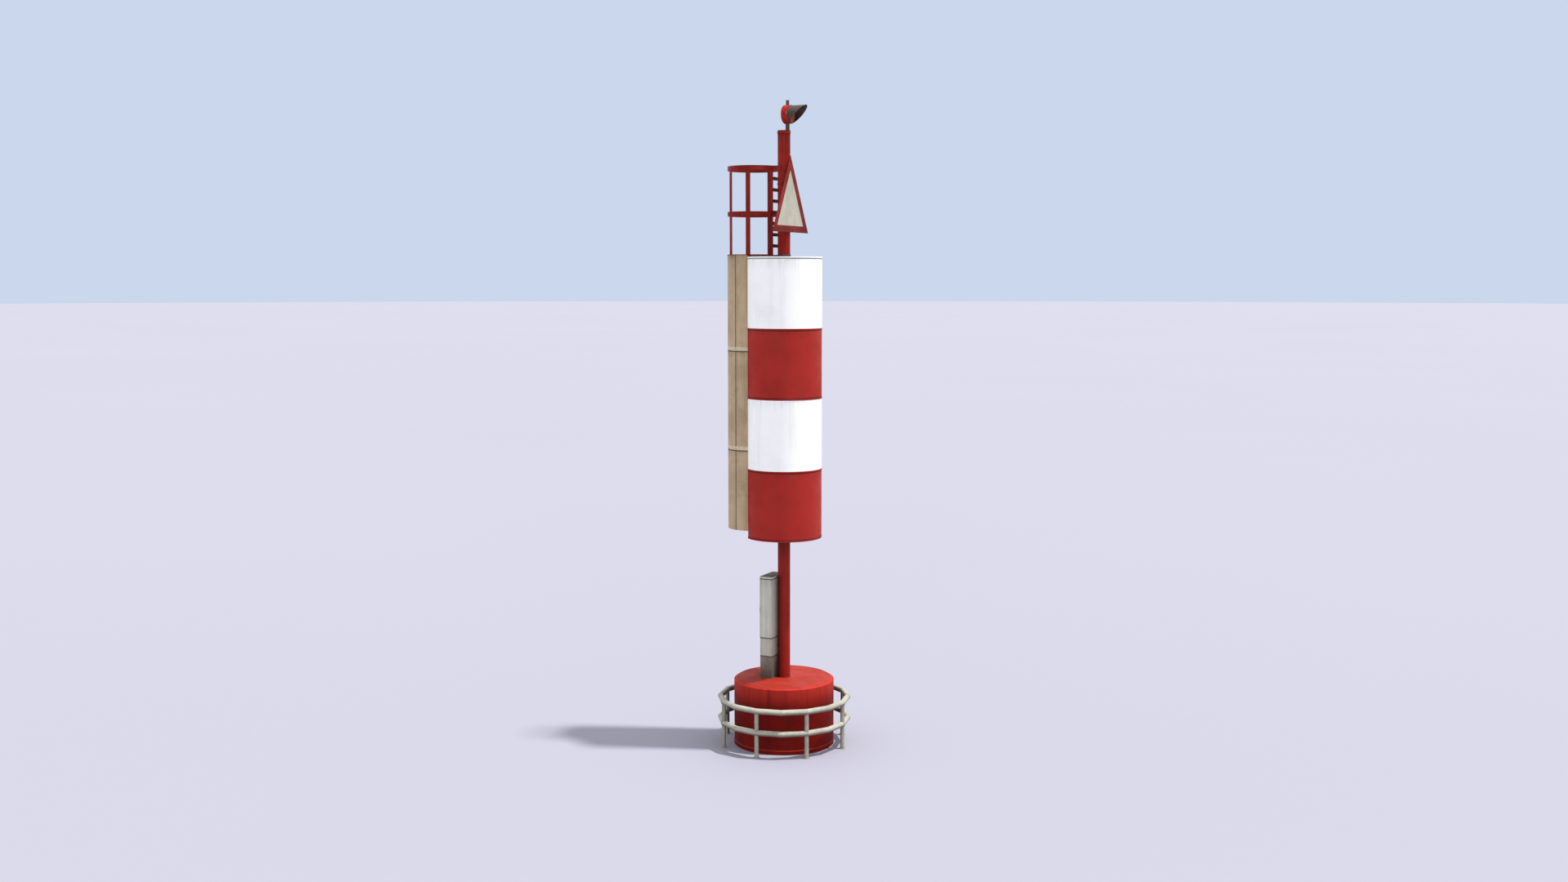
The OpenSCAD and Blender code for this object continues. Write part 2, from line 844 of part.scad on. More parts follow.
module battery() {
    z0 = plinth_top_z + sheet_t;
    lid_z = z0 + battery_h;
    low = battery_low + [battery_lid_inset, battery_lid_inset];
    high = battery_high - [battery_lid_inset, battery_lid_inset];
    block([battery_low.x, battery_low.y, z0], [battery_high.x, battery_high.y, lid_z]);
    block([low.x, low.y, lid_z], [high.x, high.y, lid_z + battery_lid_h]);
    for (x = [battery_low.x + terminal_inset, battery_high.x - terminal_inset])
        translate([x, terminal_y, 0])
            disc(terminal_r, lid_z + battery_lid_h, lid_z + battery_lid_h + terminal_h);
}

module cabinet_batteries() {
    color(dark_grey) for (side = [0, 1]) mirror([0, side, 0]) battery();
}

// a slab on the case's mast side: spec is its thickness, its width and its lower and upper edge
module on_backplate(front_x, spec) {
    block([front_x - spec[0], -spec[1] / 2, spec[2]], [front_x, spec[1] / 2, spec[3]]);
}

module cabinet_controller() {
    wall_x = cabinet_front_x - sheet_t;
    color(cabinet_grey) {
        on_backplate(wall_x, backplate);
        on_backplate(wall_x - backplate[0], charger);
        on_backplate(wall_x - backplate[0], terminal_strip);
    }
}

module cable_gland() {
    length = -cabinet_front_x - mast_r;
    color(dark_grey) translate([cabinet_front_x, 0, gland_z]) rotate([0, 90, 0]) difference() {
        union() {
            cylinder(r = gland_nut_r, h = gland_nut_t);
            cylinder(r = gland_r, h = length - weld_gap);
        }
        translate([0, 0, -cut]) cylinder(r = gland_bore_r, h = length + 2 * cut);
    }
}

// ---------- lamp ----------

module at_swivel() {
    translate([swivel_x, 0, 0]) children();
}

module lamp_stem() {
    color(dark_grey) at_swivel() difference() {
        union() {
            disc(stem_r, mast_top_z, stem_top_z);
            disc(stem_flange_r, mast_top_z, mast_top_z + stem_flange_t);
        }
        disc(stem_bore_r, mast_top_z - cut, stem_top_z + cut);
    }
}

// one turned tube: spigot in the stem, collar, crossing of the housing and free end above it
module lamp_post() {
    collar_z = stem_top_z + 0.3;
    color(dark_grey) difference() {
        union() {
            at_swivel() disc(stem_bore_r - running_gap, spigot_z, collar_z + 1);
            at_swivel() disc(post_r, collar_z, stub_z + 1);
            at_swivel() disc(stub_r, stub_z, stub_top_z);
            difference() {
                at_swivel() disc(stem_r, collar_z, lamp_z - lamp_r + 10);
                on_lamp_axis() cylinder(r = lamp_r + weld_gap, h = housing_front_x);
            }
        }
        at_swivel() disc(post_bore_r, spigot_z - cut, stub_top_z - stub_end_t);
        translate([swivel_x, 0, wire_hole_z]) rotate([0, 90, 0]) cylinder(r = wire_hole_r, h = post_r + cut);
    }
}

module lamp_hinge_bore() {
    translate([lamp_hinge_x, lamp_hinge_y, 0])
        disc(lamp_pin_r + running_gap, lamp_z - 3 * lamp_knuckle_h, lamp_z + 3 * lamp_knuckle_h);
}

// a bar that stands out of the lamp's -Y side, from y0 outwards
module side_bar(x, r, y0, length) {
    translate([x, y0, lamp_z]) rotate([90, 0, 0]) cylinder(r = r, h = length);
}

module lamp_housing() {
    boss_y = latch_y + side_play;
    stud_y = -lamp_r + stud_root;
    pin_end_y = latch_y - latch_t - 1 - stud_head_t;
    color(red) difference() {
        union() {
            difference() {
                on_lamp_axis() rotate_extrude() polygon([
                    [lamp_r - housing_wall, housing_back_x],
                    [lamp_r, housing_back_x],
                    [lamp_r, housing_front_x],
                    [lamp_r - housing_lip_w, housing_front_x],
                    [lamp_r - housing_lip_w, housing_front_x - housing_lip_t],
                    [lamp_r - housing_wall, housing_front_x - housing_lip_t]
                ]);
                at_swivel() disc(stub_r + side_play, lamp_z - lamp_r - through, lamp_z + lamp_r + through);
            }
            for (low = [-2 * lamp_knuckle_h, lamp_knuckle_h]) {
                z0 = lamp_z + low;
                translate([lamp_hinge_x, lamp_hinge_y, 0]) disc(lamp_knuckle_r, z0, z0 + lamp_knuckle_h);
                block([lamp_hinge_x - lamp_hinge_arm, lamp_r - 2 * housing_wall, z0],
                      [lamp_hinge_x - 1, lamp_hinge_y, z0 + lamp_knuckle_h]);
            }
            side_bar(latch_x, latch_hub_r, stud_y, stud_y - boss_y);
            side_bar(latch_x, lamp_pin_r, stud_y, stud_y - pin_end_y);
            side_bar(latch_x, stud_head_r, pin_end_y + stud_head_t, stud_head_t);
        }
        lamp_hinge_bore();
    }
}

module lamp_back_cover() {
    color(red) on_lamp_axis() rotate_extrude() polygon([
        [0, 0],
        [lamp_r - 88, 1],
        [lamp_r - 36, 6],
        [lamp_r - 12, 14],
        [lamp_r - 2, 23],
        [lamp_r, housing_back_x],
        [lamp_r - 7, housing_back_x],
        [lamp_r - 18, 18],
        [lamp_r - 38, 11],
        [lamp_r - 88, 6],
        [0, 5]
    ]);
}

module lamp_led_board() {
    foot_x = swivel_x + post_r + 1.5;
    color(board_green) on_lamp_axis() {
        translate([0, 0, board_x]) cylinder(r = board_r, h = board_t);
        translate([0, 0, foot_x]) cylinder(r = board_foot_r, h = board_x - foot_x);
    }
}

module lamp_leds() {
    color(warm_white) on_lamp_axis()
        for (row = led_rings, i = [0:row[0] - 1])
            rotate([0, 0, i * 360 / row[0]]) translate([row[1], 0, board_x + board_t]) {
                cylinder(r = led_r, h = led_base_t, $fn = 24);
                translate([0, 0, led_base_t])
                    cylinder(r1 = led_r - 1, r2 = led_tip_r, h = led_tip_h, $fn = 24);
            }
}

// ring in front of the housing that carries the lens and the hood, with its keeper pin pressed in
module lamp_bezel() {
    keeper_x = latch_x + latch_reach;
    knuckle_h = lamp_knuckle_h - side_play;
    color(dark_grey) {
        difference() {
            union() {
                on_lamp_axis() rotate_extrude() polygon([
                    [lens_r + 1, housing_front_x + 1],
                    [bezel_r, housing_front_x + 1],
                    [bezel_r, bezel_front_x],
                    [lens_r - bezel_lip_w, bezel_front_x],
                    [lens_r - bezel_lip_w, bezel_front_x - bezel_lip_t],
                    [lens_r + 1, bezel_front_x - bezel_lip_t]
                ]);
                translate([lamp_hinge_x, lamp_hinge_y, 0])
                    disc(lamp_knuckle_r, lamp_z - knuckle_h, lamp_z + knuckle_h);
                block([lamp_hinge_x + side_play, bezel_r - 14, lamp_z - knuckle_h],
                      [bezel_front_x - 4, lamp_hinge_y, lamp_z + knuckle_h]);
            }
            lamp_hinge_bore();
            side_bar(keeper_x, keeper_r + running_gap, keeper_depth - bezel_r, keeper_depth + keeper_stand);
        }
        side_bar(keeper_x, keeper_r, keeper_depth - bezel_r - 0.5, keeper_depth + keeper_stand);
    }
}

module lamp_hinge_pin() {
    head_z = lamp_z + 2 * lamp_knuckle_h + side_play;
    color(zinc) translate([lamp_hinge_x, lamp_hinge_y, 0]) {
        disc(lamp_pin_r, lamp_z - 2 * lamp_knuckle_h - 2, head_z + cut);
        disc(lamp_pin_r + 3, head_z, head_z + lamp_pin_head_t);
    }
}

module lamp_lens() {
    back_x = bezel_front_x - bezel_lip_t - lens_edge_t - 1;
    color(amber) on_lamp_axis() rotate_extrude() polygon([
        [0, back_x],
        [lens_r, back_x],
        [lens_r, back_x + lens_edge_t],
        [lens_r - 8, back_x + lens_edge_t],
        [150, back_x + 13],
        [80, back_x + 18],
        [0, back_x + 20]
    ]);
}

module lamp_hood() {
    reach = 900;
    color(dark_grey) difference() {
        on_lamp_axis() rotate_extrude() translate([hood_r - hood_wall, bezel_front_x])
            square([hood_wall, hood_tip_x - bezel_front_x]);
        translate([hood_tip_x, 0, lamp_z + hood_r]) rotate([0, -hood_slope, 0])
            block([-reach, -reach / 2, -reach], [reach, reach / 2, 0]);
    }
}

// a hook on a stud: it stands up when free, and turns forward over the bezel's keeper pin to lock
module lamp_latch() {
    color(zinc) translate([latch_x, latch_y, lamp_z]) rotate([90, -90, 0]) difference() {
        linear_extrude(height = latch_t) difference() {
            union() {
                circle(r = latch_hub_r);
                translate([0, -latch_front])
                    square([latch_reach + 2 * throat_r, latch_front + latch_back]);
                translate([latch_reach, latch_back - latch_tab_w]) square([latch_tab_l, latch_tab_w]);
            }
            translate([latch_reach, 0]) circle(r = throat_r);
            polygon([
                [latch_reach - throat_r, 0],
                [latch_reach - throat_r - 3, -latch_front - cut],
                [latch_reach + throat_r + 1, -latch_front - cut],
                [latch_reach + throat_r, 0]
            ]);
        }
        translate([0, 0, -cut]) cylinder(r = lamp_pin_r + running_gap, h = latch_t + 2 * cut);
    }
}

foundation_shell();
foundation_core();
guard_rail_top();
guard_rail_lower();
guard_post(1);  // guard_post_1
guard_post(2);  // guard_post_2
guard_post(3);  // guard_post_3
guard_post(4);  // guard_post_4
guard_post(5);  // guard_post_5
guard_post(6);  // guard_post_6
guard_post(7);  // guard_post_7
guard_post(8);  // guard_post_8
mast_tube();
mast_cap();
daymark_band(1, red);  // daymark_band_1
daymark_band_plain(2, 0);  // daymark_band_2
daymark_band(3, red);  // daymark_band_3
daymark_band_plain(4, rim_h);  // daymark_band_4
daymark_deck();
daymark_floor();
daymark_frames();
shaft_section(1);  // shaft_section_1
shaft_section(2);  // shaft_section_2
shaft_section(3);  // shaft_section_3
cage_base_hoop();
cage_mid_hoop();
cage_top_hoop();
cage_strips();
ladder_stile_left();
ladder_stile_right();
ladder_rungs();
ladder_brackets();
topmark_panel();
topmark_frame_left();
topmark_frame_right();
topmark_frame_bottom();
topmark_carriers();
cabinet_plinth();
cabinet_battery_case();
cabinet_battery_cover();
cabinet_housing();
cabinet_lid();
cabinet_door();
cabinet_handle();
cabinet_hinge_pins();
cabinet_shelf();
cabinet_batteries();
cabinet_controller();
cable_gland();
lamp_stem();
lamp_post();
lamp_housing();
lamp_back_cover();
lamp_led_board();
lamp_leds();
lamp_bezel();
lamp_lens();
lamp_hood();
lamp_hinge_pin();
lamp_latch();
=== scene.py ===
"""Looks of the leading-light beacon tower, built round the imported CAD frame. All lengths in metres.

The mast axis is the Z axis, the lamp and the topmark face +X, and the ladder shaft is on -X.
"""
import json
import math

import bmesh
import bpy
from mathutils import Matrix, Vector


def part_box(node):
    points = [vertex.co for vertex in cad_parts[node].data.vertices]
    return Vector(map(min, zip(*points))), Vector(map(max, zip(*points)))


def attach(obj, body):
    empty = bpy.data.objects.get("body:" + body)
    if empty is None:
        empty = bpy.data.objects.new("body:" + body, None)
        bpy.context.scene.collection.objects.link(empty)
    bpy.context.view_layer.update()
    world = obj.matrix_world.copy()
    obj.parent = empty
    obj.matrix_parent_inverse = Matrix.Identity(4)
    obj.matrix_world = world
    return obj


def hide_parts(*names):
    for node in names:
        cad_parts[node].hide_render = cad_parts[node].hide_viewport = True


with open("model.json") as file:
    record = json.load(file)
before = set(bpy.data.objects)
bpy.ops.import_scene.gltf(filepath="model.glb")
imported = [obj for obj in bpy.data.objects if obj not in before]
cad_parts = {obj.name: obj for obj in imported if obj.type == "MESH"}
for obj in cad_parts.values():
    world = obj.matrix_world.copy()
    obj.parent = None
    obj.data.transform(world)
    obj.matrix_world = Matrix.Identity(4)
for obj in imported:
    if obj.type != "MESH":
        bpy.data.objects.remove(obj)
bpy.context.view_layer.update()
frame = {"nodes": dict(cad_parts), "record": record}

MM = 0.001
POST_COUNT = 8
MITRE = math.radians(180 / (2 * POST_COUNT))    # the rails have two straight lengths to each post
POST_R = 55 * MM
FOOT_TOP = 12 * MM                              # upper face of a post's foot plate
FOOT_HOLES_R = 74 * MM                          # from a post's axis to its anchor holes
RIM_H = 48 * MM                                 # height of a raised rim on a band of the drum
COLLAR_H = 26 * MM                              # height of the collar at a joint of the shaft
SHAFT_GROOVE_ANGLE = 72                         # of the shaft's long grooves, from its rear
STRIP_ANGLES = (-102.9, -51.4, 0.0, 51.4, 102.9)    # of the cage's upright strips, from its rear
RUNG_PITCH = 0.3
MAST_WELD_LEVELS = (3.9, 15.35)


# ---------------------------------------------------------------- measures taken from the frame

def middle(node):
    """The centre of a CAD node's box."""
    low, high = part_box(node)
    return (low + high) / 2


def size(node):
    """The three sides of a CAD node's box."""
    low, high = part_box(node)
    return high - low


RAIL_R = size("guard_rail_top").z / 2
GUARD_R = size("guard_rail_top").x / 2 - RAIL_R / math.cos(MITRE)
RAIL_LEVELS = (middle("guard_rail_lower").z, middle("guard_rail_top").z)
FOUNDATION_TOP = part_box("foundation_shell")[1].z
MAST_R = size("mast_tube").y / 2
CAP_R = size("mast_cap").y / 2
MAST_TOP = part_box("mast_cap")[1].z
DRUM_RIM_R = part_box("daymark_band_1")[1].x
DRUM_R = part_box("daymark_band_2")[1].x
DRUM_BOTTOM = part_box("daymark_band_1")[0].z
BAND_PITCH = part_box("daymark_band_2")[0].z - DRUM_BOTTOM
BAND_TOPS = tuple(DRUM_BOTTOM + BAND_PITCH * i for i in (1, 2, 3, 4))
SHAFT_JOINTS = tuple(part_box(f"shaft_section_{i}")[1].z for i in (1, 2, 3))
SHAFT_COLLAR_R = size("shaft_section_2").y / 2
SHAFT_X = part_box("shaft_section_2")[0].x + SHAFT_COLLAR_R
HOOP_R = size("cage_mid_hoop").y / 2
STILE_INNER_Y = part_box("ladder_stile_left")[0].y
RUNG_DEPTH = size("ladder_rungs").x
RUNG_H = size("ladder_rungs").z % RUNG_PITCH
RUNG_COUNT = round((size("ladder_rungs").z - RUNG_H) / RUNG_PITCH) + 1
RUNG_X = middle("ladder_rungs").x
RUNG_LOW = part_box("ladder_rungs")[0].z + RUNG_H / 2
LAMP_Z = middle("lamp_back_cover").z
LAMP_R = size("lamp_back_cover").z / 2
HOOD_R = size("lamp_hood").y / 2
HOOD_BASE_X, HOOD_TIP_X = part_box("lamp_hood")[0].x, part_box("lamp_hood")[1].x
HOOD_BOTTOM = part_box("lamp_hood")[0].z - LAMP_Z
CABINET_SEAMS = (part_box("cabinet_battery_case")[1].z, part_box("cabinet_housing")[1].z,
                 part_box("cabinet_battery_case")[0].z)
TOPMARK_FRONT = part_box("topmark_frame_bottom")[1].x
TOPMARK_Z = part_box("topmark_frame_bottom")[0].z
TOPMARK_BORDER = size("topmark_frame_bottom").z
TOPMARK_HALF_W = size("topmark_frame_bottom").y / 2
TOPMARK_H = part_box("topmark_frame_left")[1].z - TOPMARK_Z


# ---------------------------------------------------------------- materials

def srgb(red, green, blue):
    """Linear colour of an 8-bit sRGB one."""
    def linear(v):
        v /= 255
        return v / 12.92 if v <= 0.04045 else ((v + 0.055) / 1.055) ** 2.4
    return (linear(red), linear(green), linear(blue), 1.0)


class Shader:
    """A material under construction: each call adds one node and returns its output socket."""

    def __init__(self, name, **fixed):
        self.material = bpy.data.materials.new(name)
        self.material.use_nodes = True
        self.tree = self.material.node_tree
        self.bsdf = self.tree.nodes["Principled BSDF"]
        for socket, value in fixed.items():
            self.bsdf.inputs[socket.replace("_", " ")].default_value = value
        self.position = self.add("ShaderNodeTexCoord").outputs["Object"]
        split = self.add("ShaderNodeSeparateXYZ", Vector=self.position)
        self.x, self.y, self.z = split.outputs

    def add(self, kind, settings=None, **inputs):
        """A new node, with its settings and the values or links of its inputs."""
        node = self.tree.nodes.new(kind)
        for key, value in (settings or {}).items():
            setattr(node, key, value)
        for key, value in inputs.items():
            self.feed(node.inputs[key.replace("_", " ")], value)
        return node

    def feed(self, socket, value):
        """Links a socket to an output, or gives it a fixed value."""
        if isinstance(value, bpy.types.NodeSocket):
            self.tree.links.new(value, socket)
        else:
            socket.default_value = value

    def stretched(self, x, y, z):
        """The position with its axes scaled, so that a texture becomes streaks."""
        return self.add("ShaderNodeMapping", Vector=self.position, Scale=(x, y, z)).outputs["Vector"]

    def noise(self, scale, detail=4.0, roughness=0.6, vector=None):
        """Cloudy values round 0.5, with scale features to the metre."""
        node = self.add("ShaderNodeTexNoise", Vector=vector or self.position, Scale=scale,
                        Detail=detail, Roughness=roughness)
        return node.outputs["Fac"]

    def cells(self, scale):
        """The distance from the nearest of many scattered points."""
        node = self.add("ShaderNodeTexVoronoi", Vector=self.position, Scale=scale)
        return node.outputs["Distance"]

    def step(self, value, low, high, to_low=0.0, to_high=1.0):
        """A smooth, clamped change of value from low to high."""
        node = self.add("ShaderNodeMapRange", {"interpolation_type": "SMOOTHSTEP"}, Value=value)
        for socket, number in zip(node.inputs[1:5], (low, high, to_low, to_high)):
            socket.default_value = number
        return node.outputs["Result"]

    def calc(self, operation, a, b=0.0):
        """One sum of a Math node."""
        node = self.add("ShaderNodeMath", {"operation": operation})
        self.feed(node.inputs[0], a)
        self.feed(node.inputs[1], b)
        return node.outputs[0]

    def both(self, a, b):
        """The product of two masks, or of a mask and a share."""
        return self.calc("MULTIPLY", a, b)

    def mix(self, share, a, b):
        """Colour a where share is 0 and colour b where it is 1."""
        node = self.add("ShaderNodeMix", {"data_type": "RGBA"})
        first_colour, second_colour, colour_result = 6, 7, 2    # places among the node's sockets
        self.feed(node.inputs["Factor"], share)
        self.feed(node.inputs[first_colour], a)
        self.feed(node.inputs[second_colour], b)
        return node.outputs[colour_result]

    def below(self, edge, reach):
        """1 just below a level, falling to 0 over reach, and 0 above it."""
        under = self.step(self.z, edge - reach, edge)
        cut = self.calc("LESS_THAN", self.z, edge + 1 * MM)
        return self.both(under, cut)

    def near(self, value, level, core, edge):
        """1 where value is within core of a level, falling to 0 at edge."""
        off = self.calc("ABSOLUTE", self.calc("SUBTRACT", value, level))
        return self.step(off, core, edge, 1.0, 0.0)

    def lines(self, levels, core=9 * MM, edge=26 * MM):
        """1 on thin level lines, for dark joints and for painted shade under an edge."""
        return self.most([self.near(self.z, level, core, edge) for level in levels])

    def upward(self):
        """The Z part of the surface's direction: 1 on a top, 0 on a wall, -1 underneath."""
        normal = self.add("ShaderNodeNewGeometry").outputs["Normal"]
        return self.add("ShaderNodeSeparateXYZ", Vector=normal).outputs["Z"]

    def outward(self):
        """The part of the surface's direction away from the mast axis, times the distance from it."""
        normal = self.add("ShaderNodeNewGeometry").outputs["Normal"]
        node = self.add("ShaderNodeVectorMath", {"operation": "DOT_PRODUCT"})
        self.feed(node.inputs[0], normal)
        self.feed(node.inputs[1], self.stretched(1.0, 1.0, 0.0))
        return node.outputs["Value"]

    def most(self, values):
        """The greatest of several masks."""
        result = values[0]
        for value in values[1:]:
            result = self.calc("MAXIMUM", result, value)
        return result

    def bumps(self, *layers):
        """Stacks (height, distance) pairs into the surface normal."""
        normal = None
        for height, distance in layers:
            node = self.add("ShaderNodeBump", Height=height)
            node.inputs["Strength"].default_value = 1.0
            node.inputs["Distance"].default_value = distance
            if normal is not None:
                self.feed(node.inputs["Normal"], normal)
            normal = node.outputs["Normal"]
        self.feed(self.bsdf.inputs["Normal"], normal)

    def finish(self, colour, roughness):
        """Ends the material with its colour and roughness, and returns it."""
        self.feed(self.bsdf.inputs["Base Color"], colour)
        self.feed(self.bsdf.inputs["Roughness"], roughness)
        return self.material


def weathered_paint(name, base, faded, streak, streak_share=0.5, streak_width=7.0, rust=None,
                    rust_share=0.0, grime=None, drip_levels=(), drip_reach=0.5, drip_share=0.6,
                    stains_and_shade=None, gloss=(0.42, 0.68), grain=0.25 * MM):
    """Outdoor paint: faded blotches, vertical streaks, dirt running down from edges, rust specks.

    Its stain-and-shade argument is a function of the shader that gives (mask, share, colour) rows, of
    stains and of painted shade, laid on last.
    """
    s = Shader(name, Metallic=0.0, Specular_IOR_Level=0.12)
    blotch = s.noise(1.3, 5.0, 0.65)
    colour = s.mix(s.step(blotch, 0.35, 0.68), base, faded)
    runs = s.noise(1.0, 5.0, 0.6, s.stretched(streak_width, streak_width, 0.28))
    run_mask = s.step(runs, 0.50, 0.72)
    colour = s.mix(s.both(run_mask, streak_share), colour, streak)
    fine = s.noise(46.0, 3.0, 0.7)
    colour = s.mix(s.step(fine, 0.30, 0.75, 0.0, 0.16), colour, streak)
    if drip_levels:
        near = s.most([s.below(level, drip_reach) for level in drip_levels])
        thin_runs = s.noise(1.0, 6.0, 0.75, s.stretched(15.0, 15.0, 0.5))
        dirt = s.both(near, s.step(thin_runs, 0.42, 0.66, 0.12, 1.0))
        colour = s.mix(s.both(dirt, drip_share), colour, grime)
    if rust_share > 0:
        specks = s.noise(23.0, 5.0, 0.75)
        zones = s.noise(2.1, 3.0, 0.6)
        spots = s.both(s.step(specks, 0.60, 0.68), s.step(zones, 0.48, 0.66))
        colour = s.mix(s.both(spots, rust_share), colour, rust)
    # stains, and painted shade, laid on last
    for mask, share, tint in (stains_and_shade(s) if stains_and_shade else ()):
        colour = s.mix(s.both(mask, share), colour, tint)
    s.bumps((s.noise(8.0, 3.0, 0.5), 0.6 * MM), (fine, grain))
    return s.finish(colour, s.step(blotch, 0.3, 0.7, *gloss))


def foundation_paint():
    """Thick red paint: chalky on top, with dark runs down the side and painted shade darkening the side
    below the rails.
    """
    s = Shader("foundation_paint_worn_and_shaded", Metallic=0.0, Specular_IOR_Level=0.08)
    blotch = s.noise(1.1, 5.0, 0.65)
    # painted shade: the lower side, which the rails shade, is painted darker than the upper side
    rail_shaded_low_side = s.mix(s.step(s.noise(2.6, 4.0, 0.6), 0.35, 0.7), srgb(116, 17, 11), srgb(98, 13, 8))
    high_side = s.mix(s.step(blotch, 0.35, 0.7), srgb(172, 44, 33), srgb(156, 38, 29))
    shade_top = 1.12
    side = s.mix(s.step(s.z, shade_top, FOUNDATION_TOP), rail_shaded_low_side, high_side)
    runs = s.noise(1.0, 5.0, 0.65, s.stretched(5.0, 5.0, 0.35))
    side = s.mix(s.step(runs, 0.5, 0.75, 0.0, 0.5), side, srgb(74, 14, 10))
    skirt_top = 0.115
    skirt = s.near(s.z, skirt_top, 3 * MM, 20 * MM)
    side = s.mix(s.both(skirt, 0.5), side, srgb(170, 66, 50))
    top = s.mix(s.step(blotch, 0.35, 0.7), srgb(152, 44, 32), srgb(136, 36, 26))
    worn = s.step(s.noise(1.7, 6.0, 0.7), 0.50, 0.66, 0.0, 0.35)
    top = s.mix(worn, top, srgb(158, 62, 48))
    colour = s.mix(s.step(s.z, FOUNDATION_TOP - 25 * MM, FOUNDATION_TOP - 5 * MM), side, top)
    specks = s.both(s.step(s.noise(30.0, 5.0, 0.8), 0.62, 0.70), s.step(blotch, 0.45, 0.65))
    colour = s.mix(s.both(specks, 0.5), colour, srgb(82, 44, 30))
    s.bumps((s.noise(5.0, 4.0, 0.55), 1.5 * MM), (s.noise(60.0, 3.0, 0.7), 0.4 * MM))
    return s.finish(colour, s.step(blotch, 0.3, 0.7, 0.5, 0.72))


def concrete():
    """Cast concrete, pale at its top and darker towards the foundation."""
    s = Shader("concrete_cast", Metallic=0.0, Specular_IOR_Level=0.25)
    blotch = s.noise(2.2, 6.0, 0.65)
    colour = s.mix(s.step(blotch, 0.3, 0.7), srgb(142, 132, 120), srgb(118, 108, 98))
    # darker towards the bottom of the plinth
    low_darkening = s.step(s.z, FOUNDATION_TOP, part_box("cabinet_plinth")[1].z, 0.85, 0.0)
    colour = s.mix(low_darkening, colour, srgb(70, 62, 52))
    joint = s.lines([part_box("cabinet_plinth")[1].z])
    colour = s.mix(s.both(joint, 0.7), colour, srgb(52, 46, 40))
    grit = s.noise(70.0, 4.0, 0.7)
    colour = s.mix(s.step(grit, 0.55, 0.75, 0.0, 0.5), colour, srgb(150, 146, 136))
    pores = s.step(s.cells(34.0), 0.0, 0.16, 1.0, 0.0)
    colour = s.mix(s.both(pores, 0.6), colour, srgb(58, 55, 50))
    runs = s.noise(1.0, 5.0, 0.65, s.stretched(9.0, 9.0, 0.5))
    colour = s.mix(s.step(runs, 0.52, 0.76, 0.0, 0.5), colour, srgb(74, 66, 55))
    s.bumps((blotch, 2.0 * MM), (grit, 0.8 * MM), (s.calc("SUBTRACT", 1.0, pores), 1.2 * MM))
    return s.finish(colour, s.step(grit, 0.3, 0.7, 0.78, 0.95))


def rail_paint():
    """Cream paint on pipe, with brown specks and greenish dirt, and painted shade on the undersides and on
    the sides that face the mast.
    """
    s = Shader("rail_paint_worn_and_shaded", Metallic=0.0, Specular_IOR_Level=0.25)
    blotch = s.noise(3.2, 5.0, 0.65)
    colour = s.mix(s.step(blotch, 0.35, 0.68), srgb(170, 168, 154), srgb(152, 149, 134))
    specks = s.noise(26.0, 6.0, 0.8)
    colour = s.mix(s.step(specks, 0.52, 0.70, 0.0, 0.65), colour, srgb(104, 94, 80))
    # painted shade: surfaces that face downwards are painted darker
    colour = s.mix(s.step(s.upward(), -0.9, 0.35, 0.8, 0.0), colour, srgb(66, 56, 47))
    # painted shade: the sides of the rails that face the mast axis are painted dark brown
    colour = s.mix(s.step(s.outward(), -0.9 * GUARD_R, -0.2 * GUARD_R, 0.85, 0.0), colour, srgb(60, 38, 32))
    rust = s.both(s.step(s.noise(11.0, 5.0, 0.75), 0.60, 0.69), s.step(blotch, 0.42, 0.6))
    colour = s.mix(s.both(rust, 0.75), colour, srgb(120, 72, 44))
    s.bumps((specks, 0.8 * MM), (s.noise(9.0, 3.0, 0.5), 1.2 * MM))
    return s.finish(colour, s.step(specks, 0.3, 0.7, 0.45, 0.7))


def galvanised(name, bright, dull, roughness=(0.38, 0.58)):
    """Zinc-coated steel with its crystal spangle."""
    s = Shader(name, Metallic=0.85)
    crystals = s.add("ShaderNodeTexVoronoi", Vector=s.position, Scale=55.0)
    tone = s.add("ShaderNodeSeparateColor", Color=crystals.outputs["Color"]).outputs[0]
    colour = s.mix(tone, bright, dull)
    colour = s.mix(s.step(s.noise(3.0, 5.0, 0.7), 0.5, 0.75, 0.0, 0.5), colour, srgb(128, 118, 104))
    s.bumps((s.noise(40.0, 3.0, 0.6), 0.2 * MM))
    return s.finish(colour, s.step(tone, 0.0, 1.0, *roughness))


def moulded(name, base, worn, metallic=0.0, roughness=(0.4, 0.6), grain=0.15 * MM):
    """Plastic or sprayed metal with a fine grain and rubbed patches."""
    s = Shader(name, Metallic=metallic)
    patches = s.noise(7.0, 5.0, 0.7)
    colour = s.mix(s.step(patches, 0.42, 0.68), base, worn)
    fine = s.noise(160.0, 2.0, 0.6)
    s.bumps((fine, grain))
    return s.finish(colour, s.step(patches, 0.3, 0.7, *roughness))


def dark_metal():
    """Dark grey hood and post paint, browned by rust along the streaks."""
    s = Shader("dark_metal_worn", Metallic=0.25, Specular_IOR_Level=0.3)
    patches = s.noise(6.0, 5.0, 0.7)
    colour = s.mix(s.step(patches, 0.35, 0.68), srgb(84, 70, 66), srgb(62, 51, 47))
    runs = s.noise(1.0, 5.0, 0.7, s.stretched(5.0, 26.0, 26.0))
    colour = s.mix(s.step(runs, 0.5, 0.72, 0.0, 0.6), colour, srgb(92, 64, 46))
    specks = s.noise(60.0, 4.0, 0.75)
    colour = s.mix(s.step(specks, 0.6, 0.72, 0.0, 0.5), colour, srgb(44, 38, 36))
    s.bumps((specks, 0.3 * MM), (patches, 0.5 * MM))
    return s.finish(colour, s.step(patches, 0.3, 0.7, 0.42, 0.68))


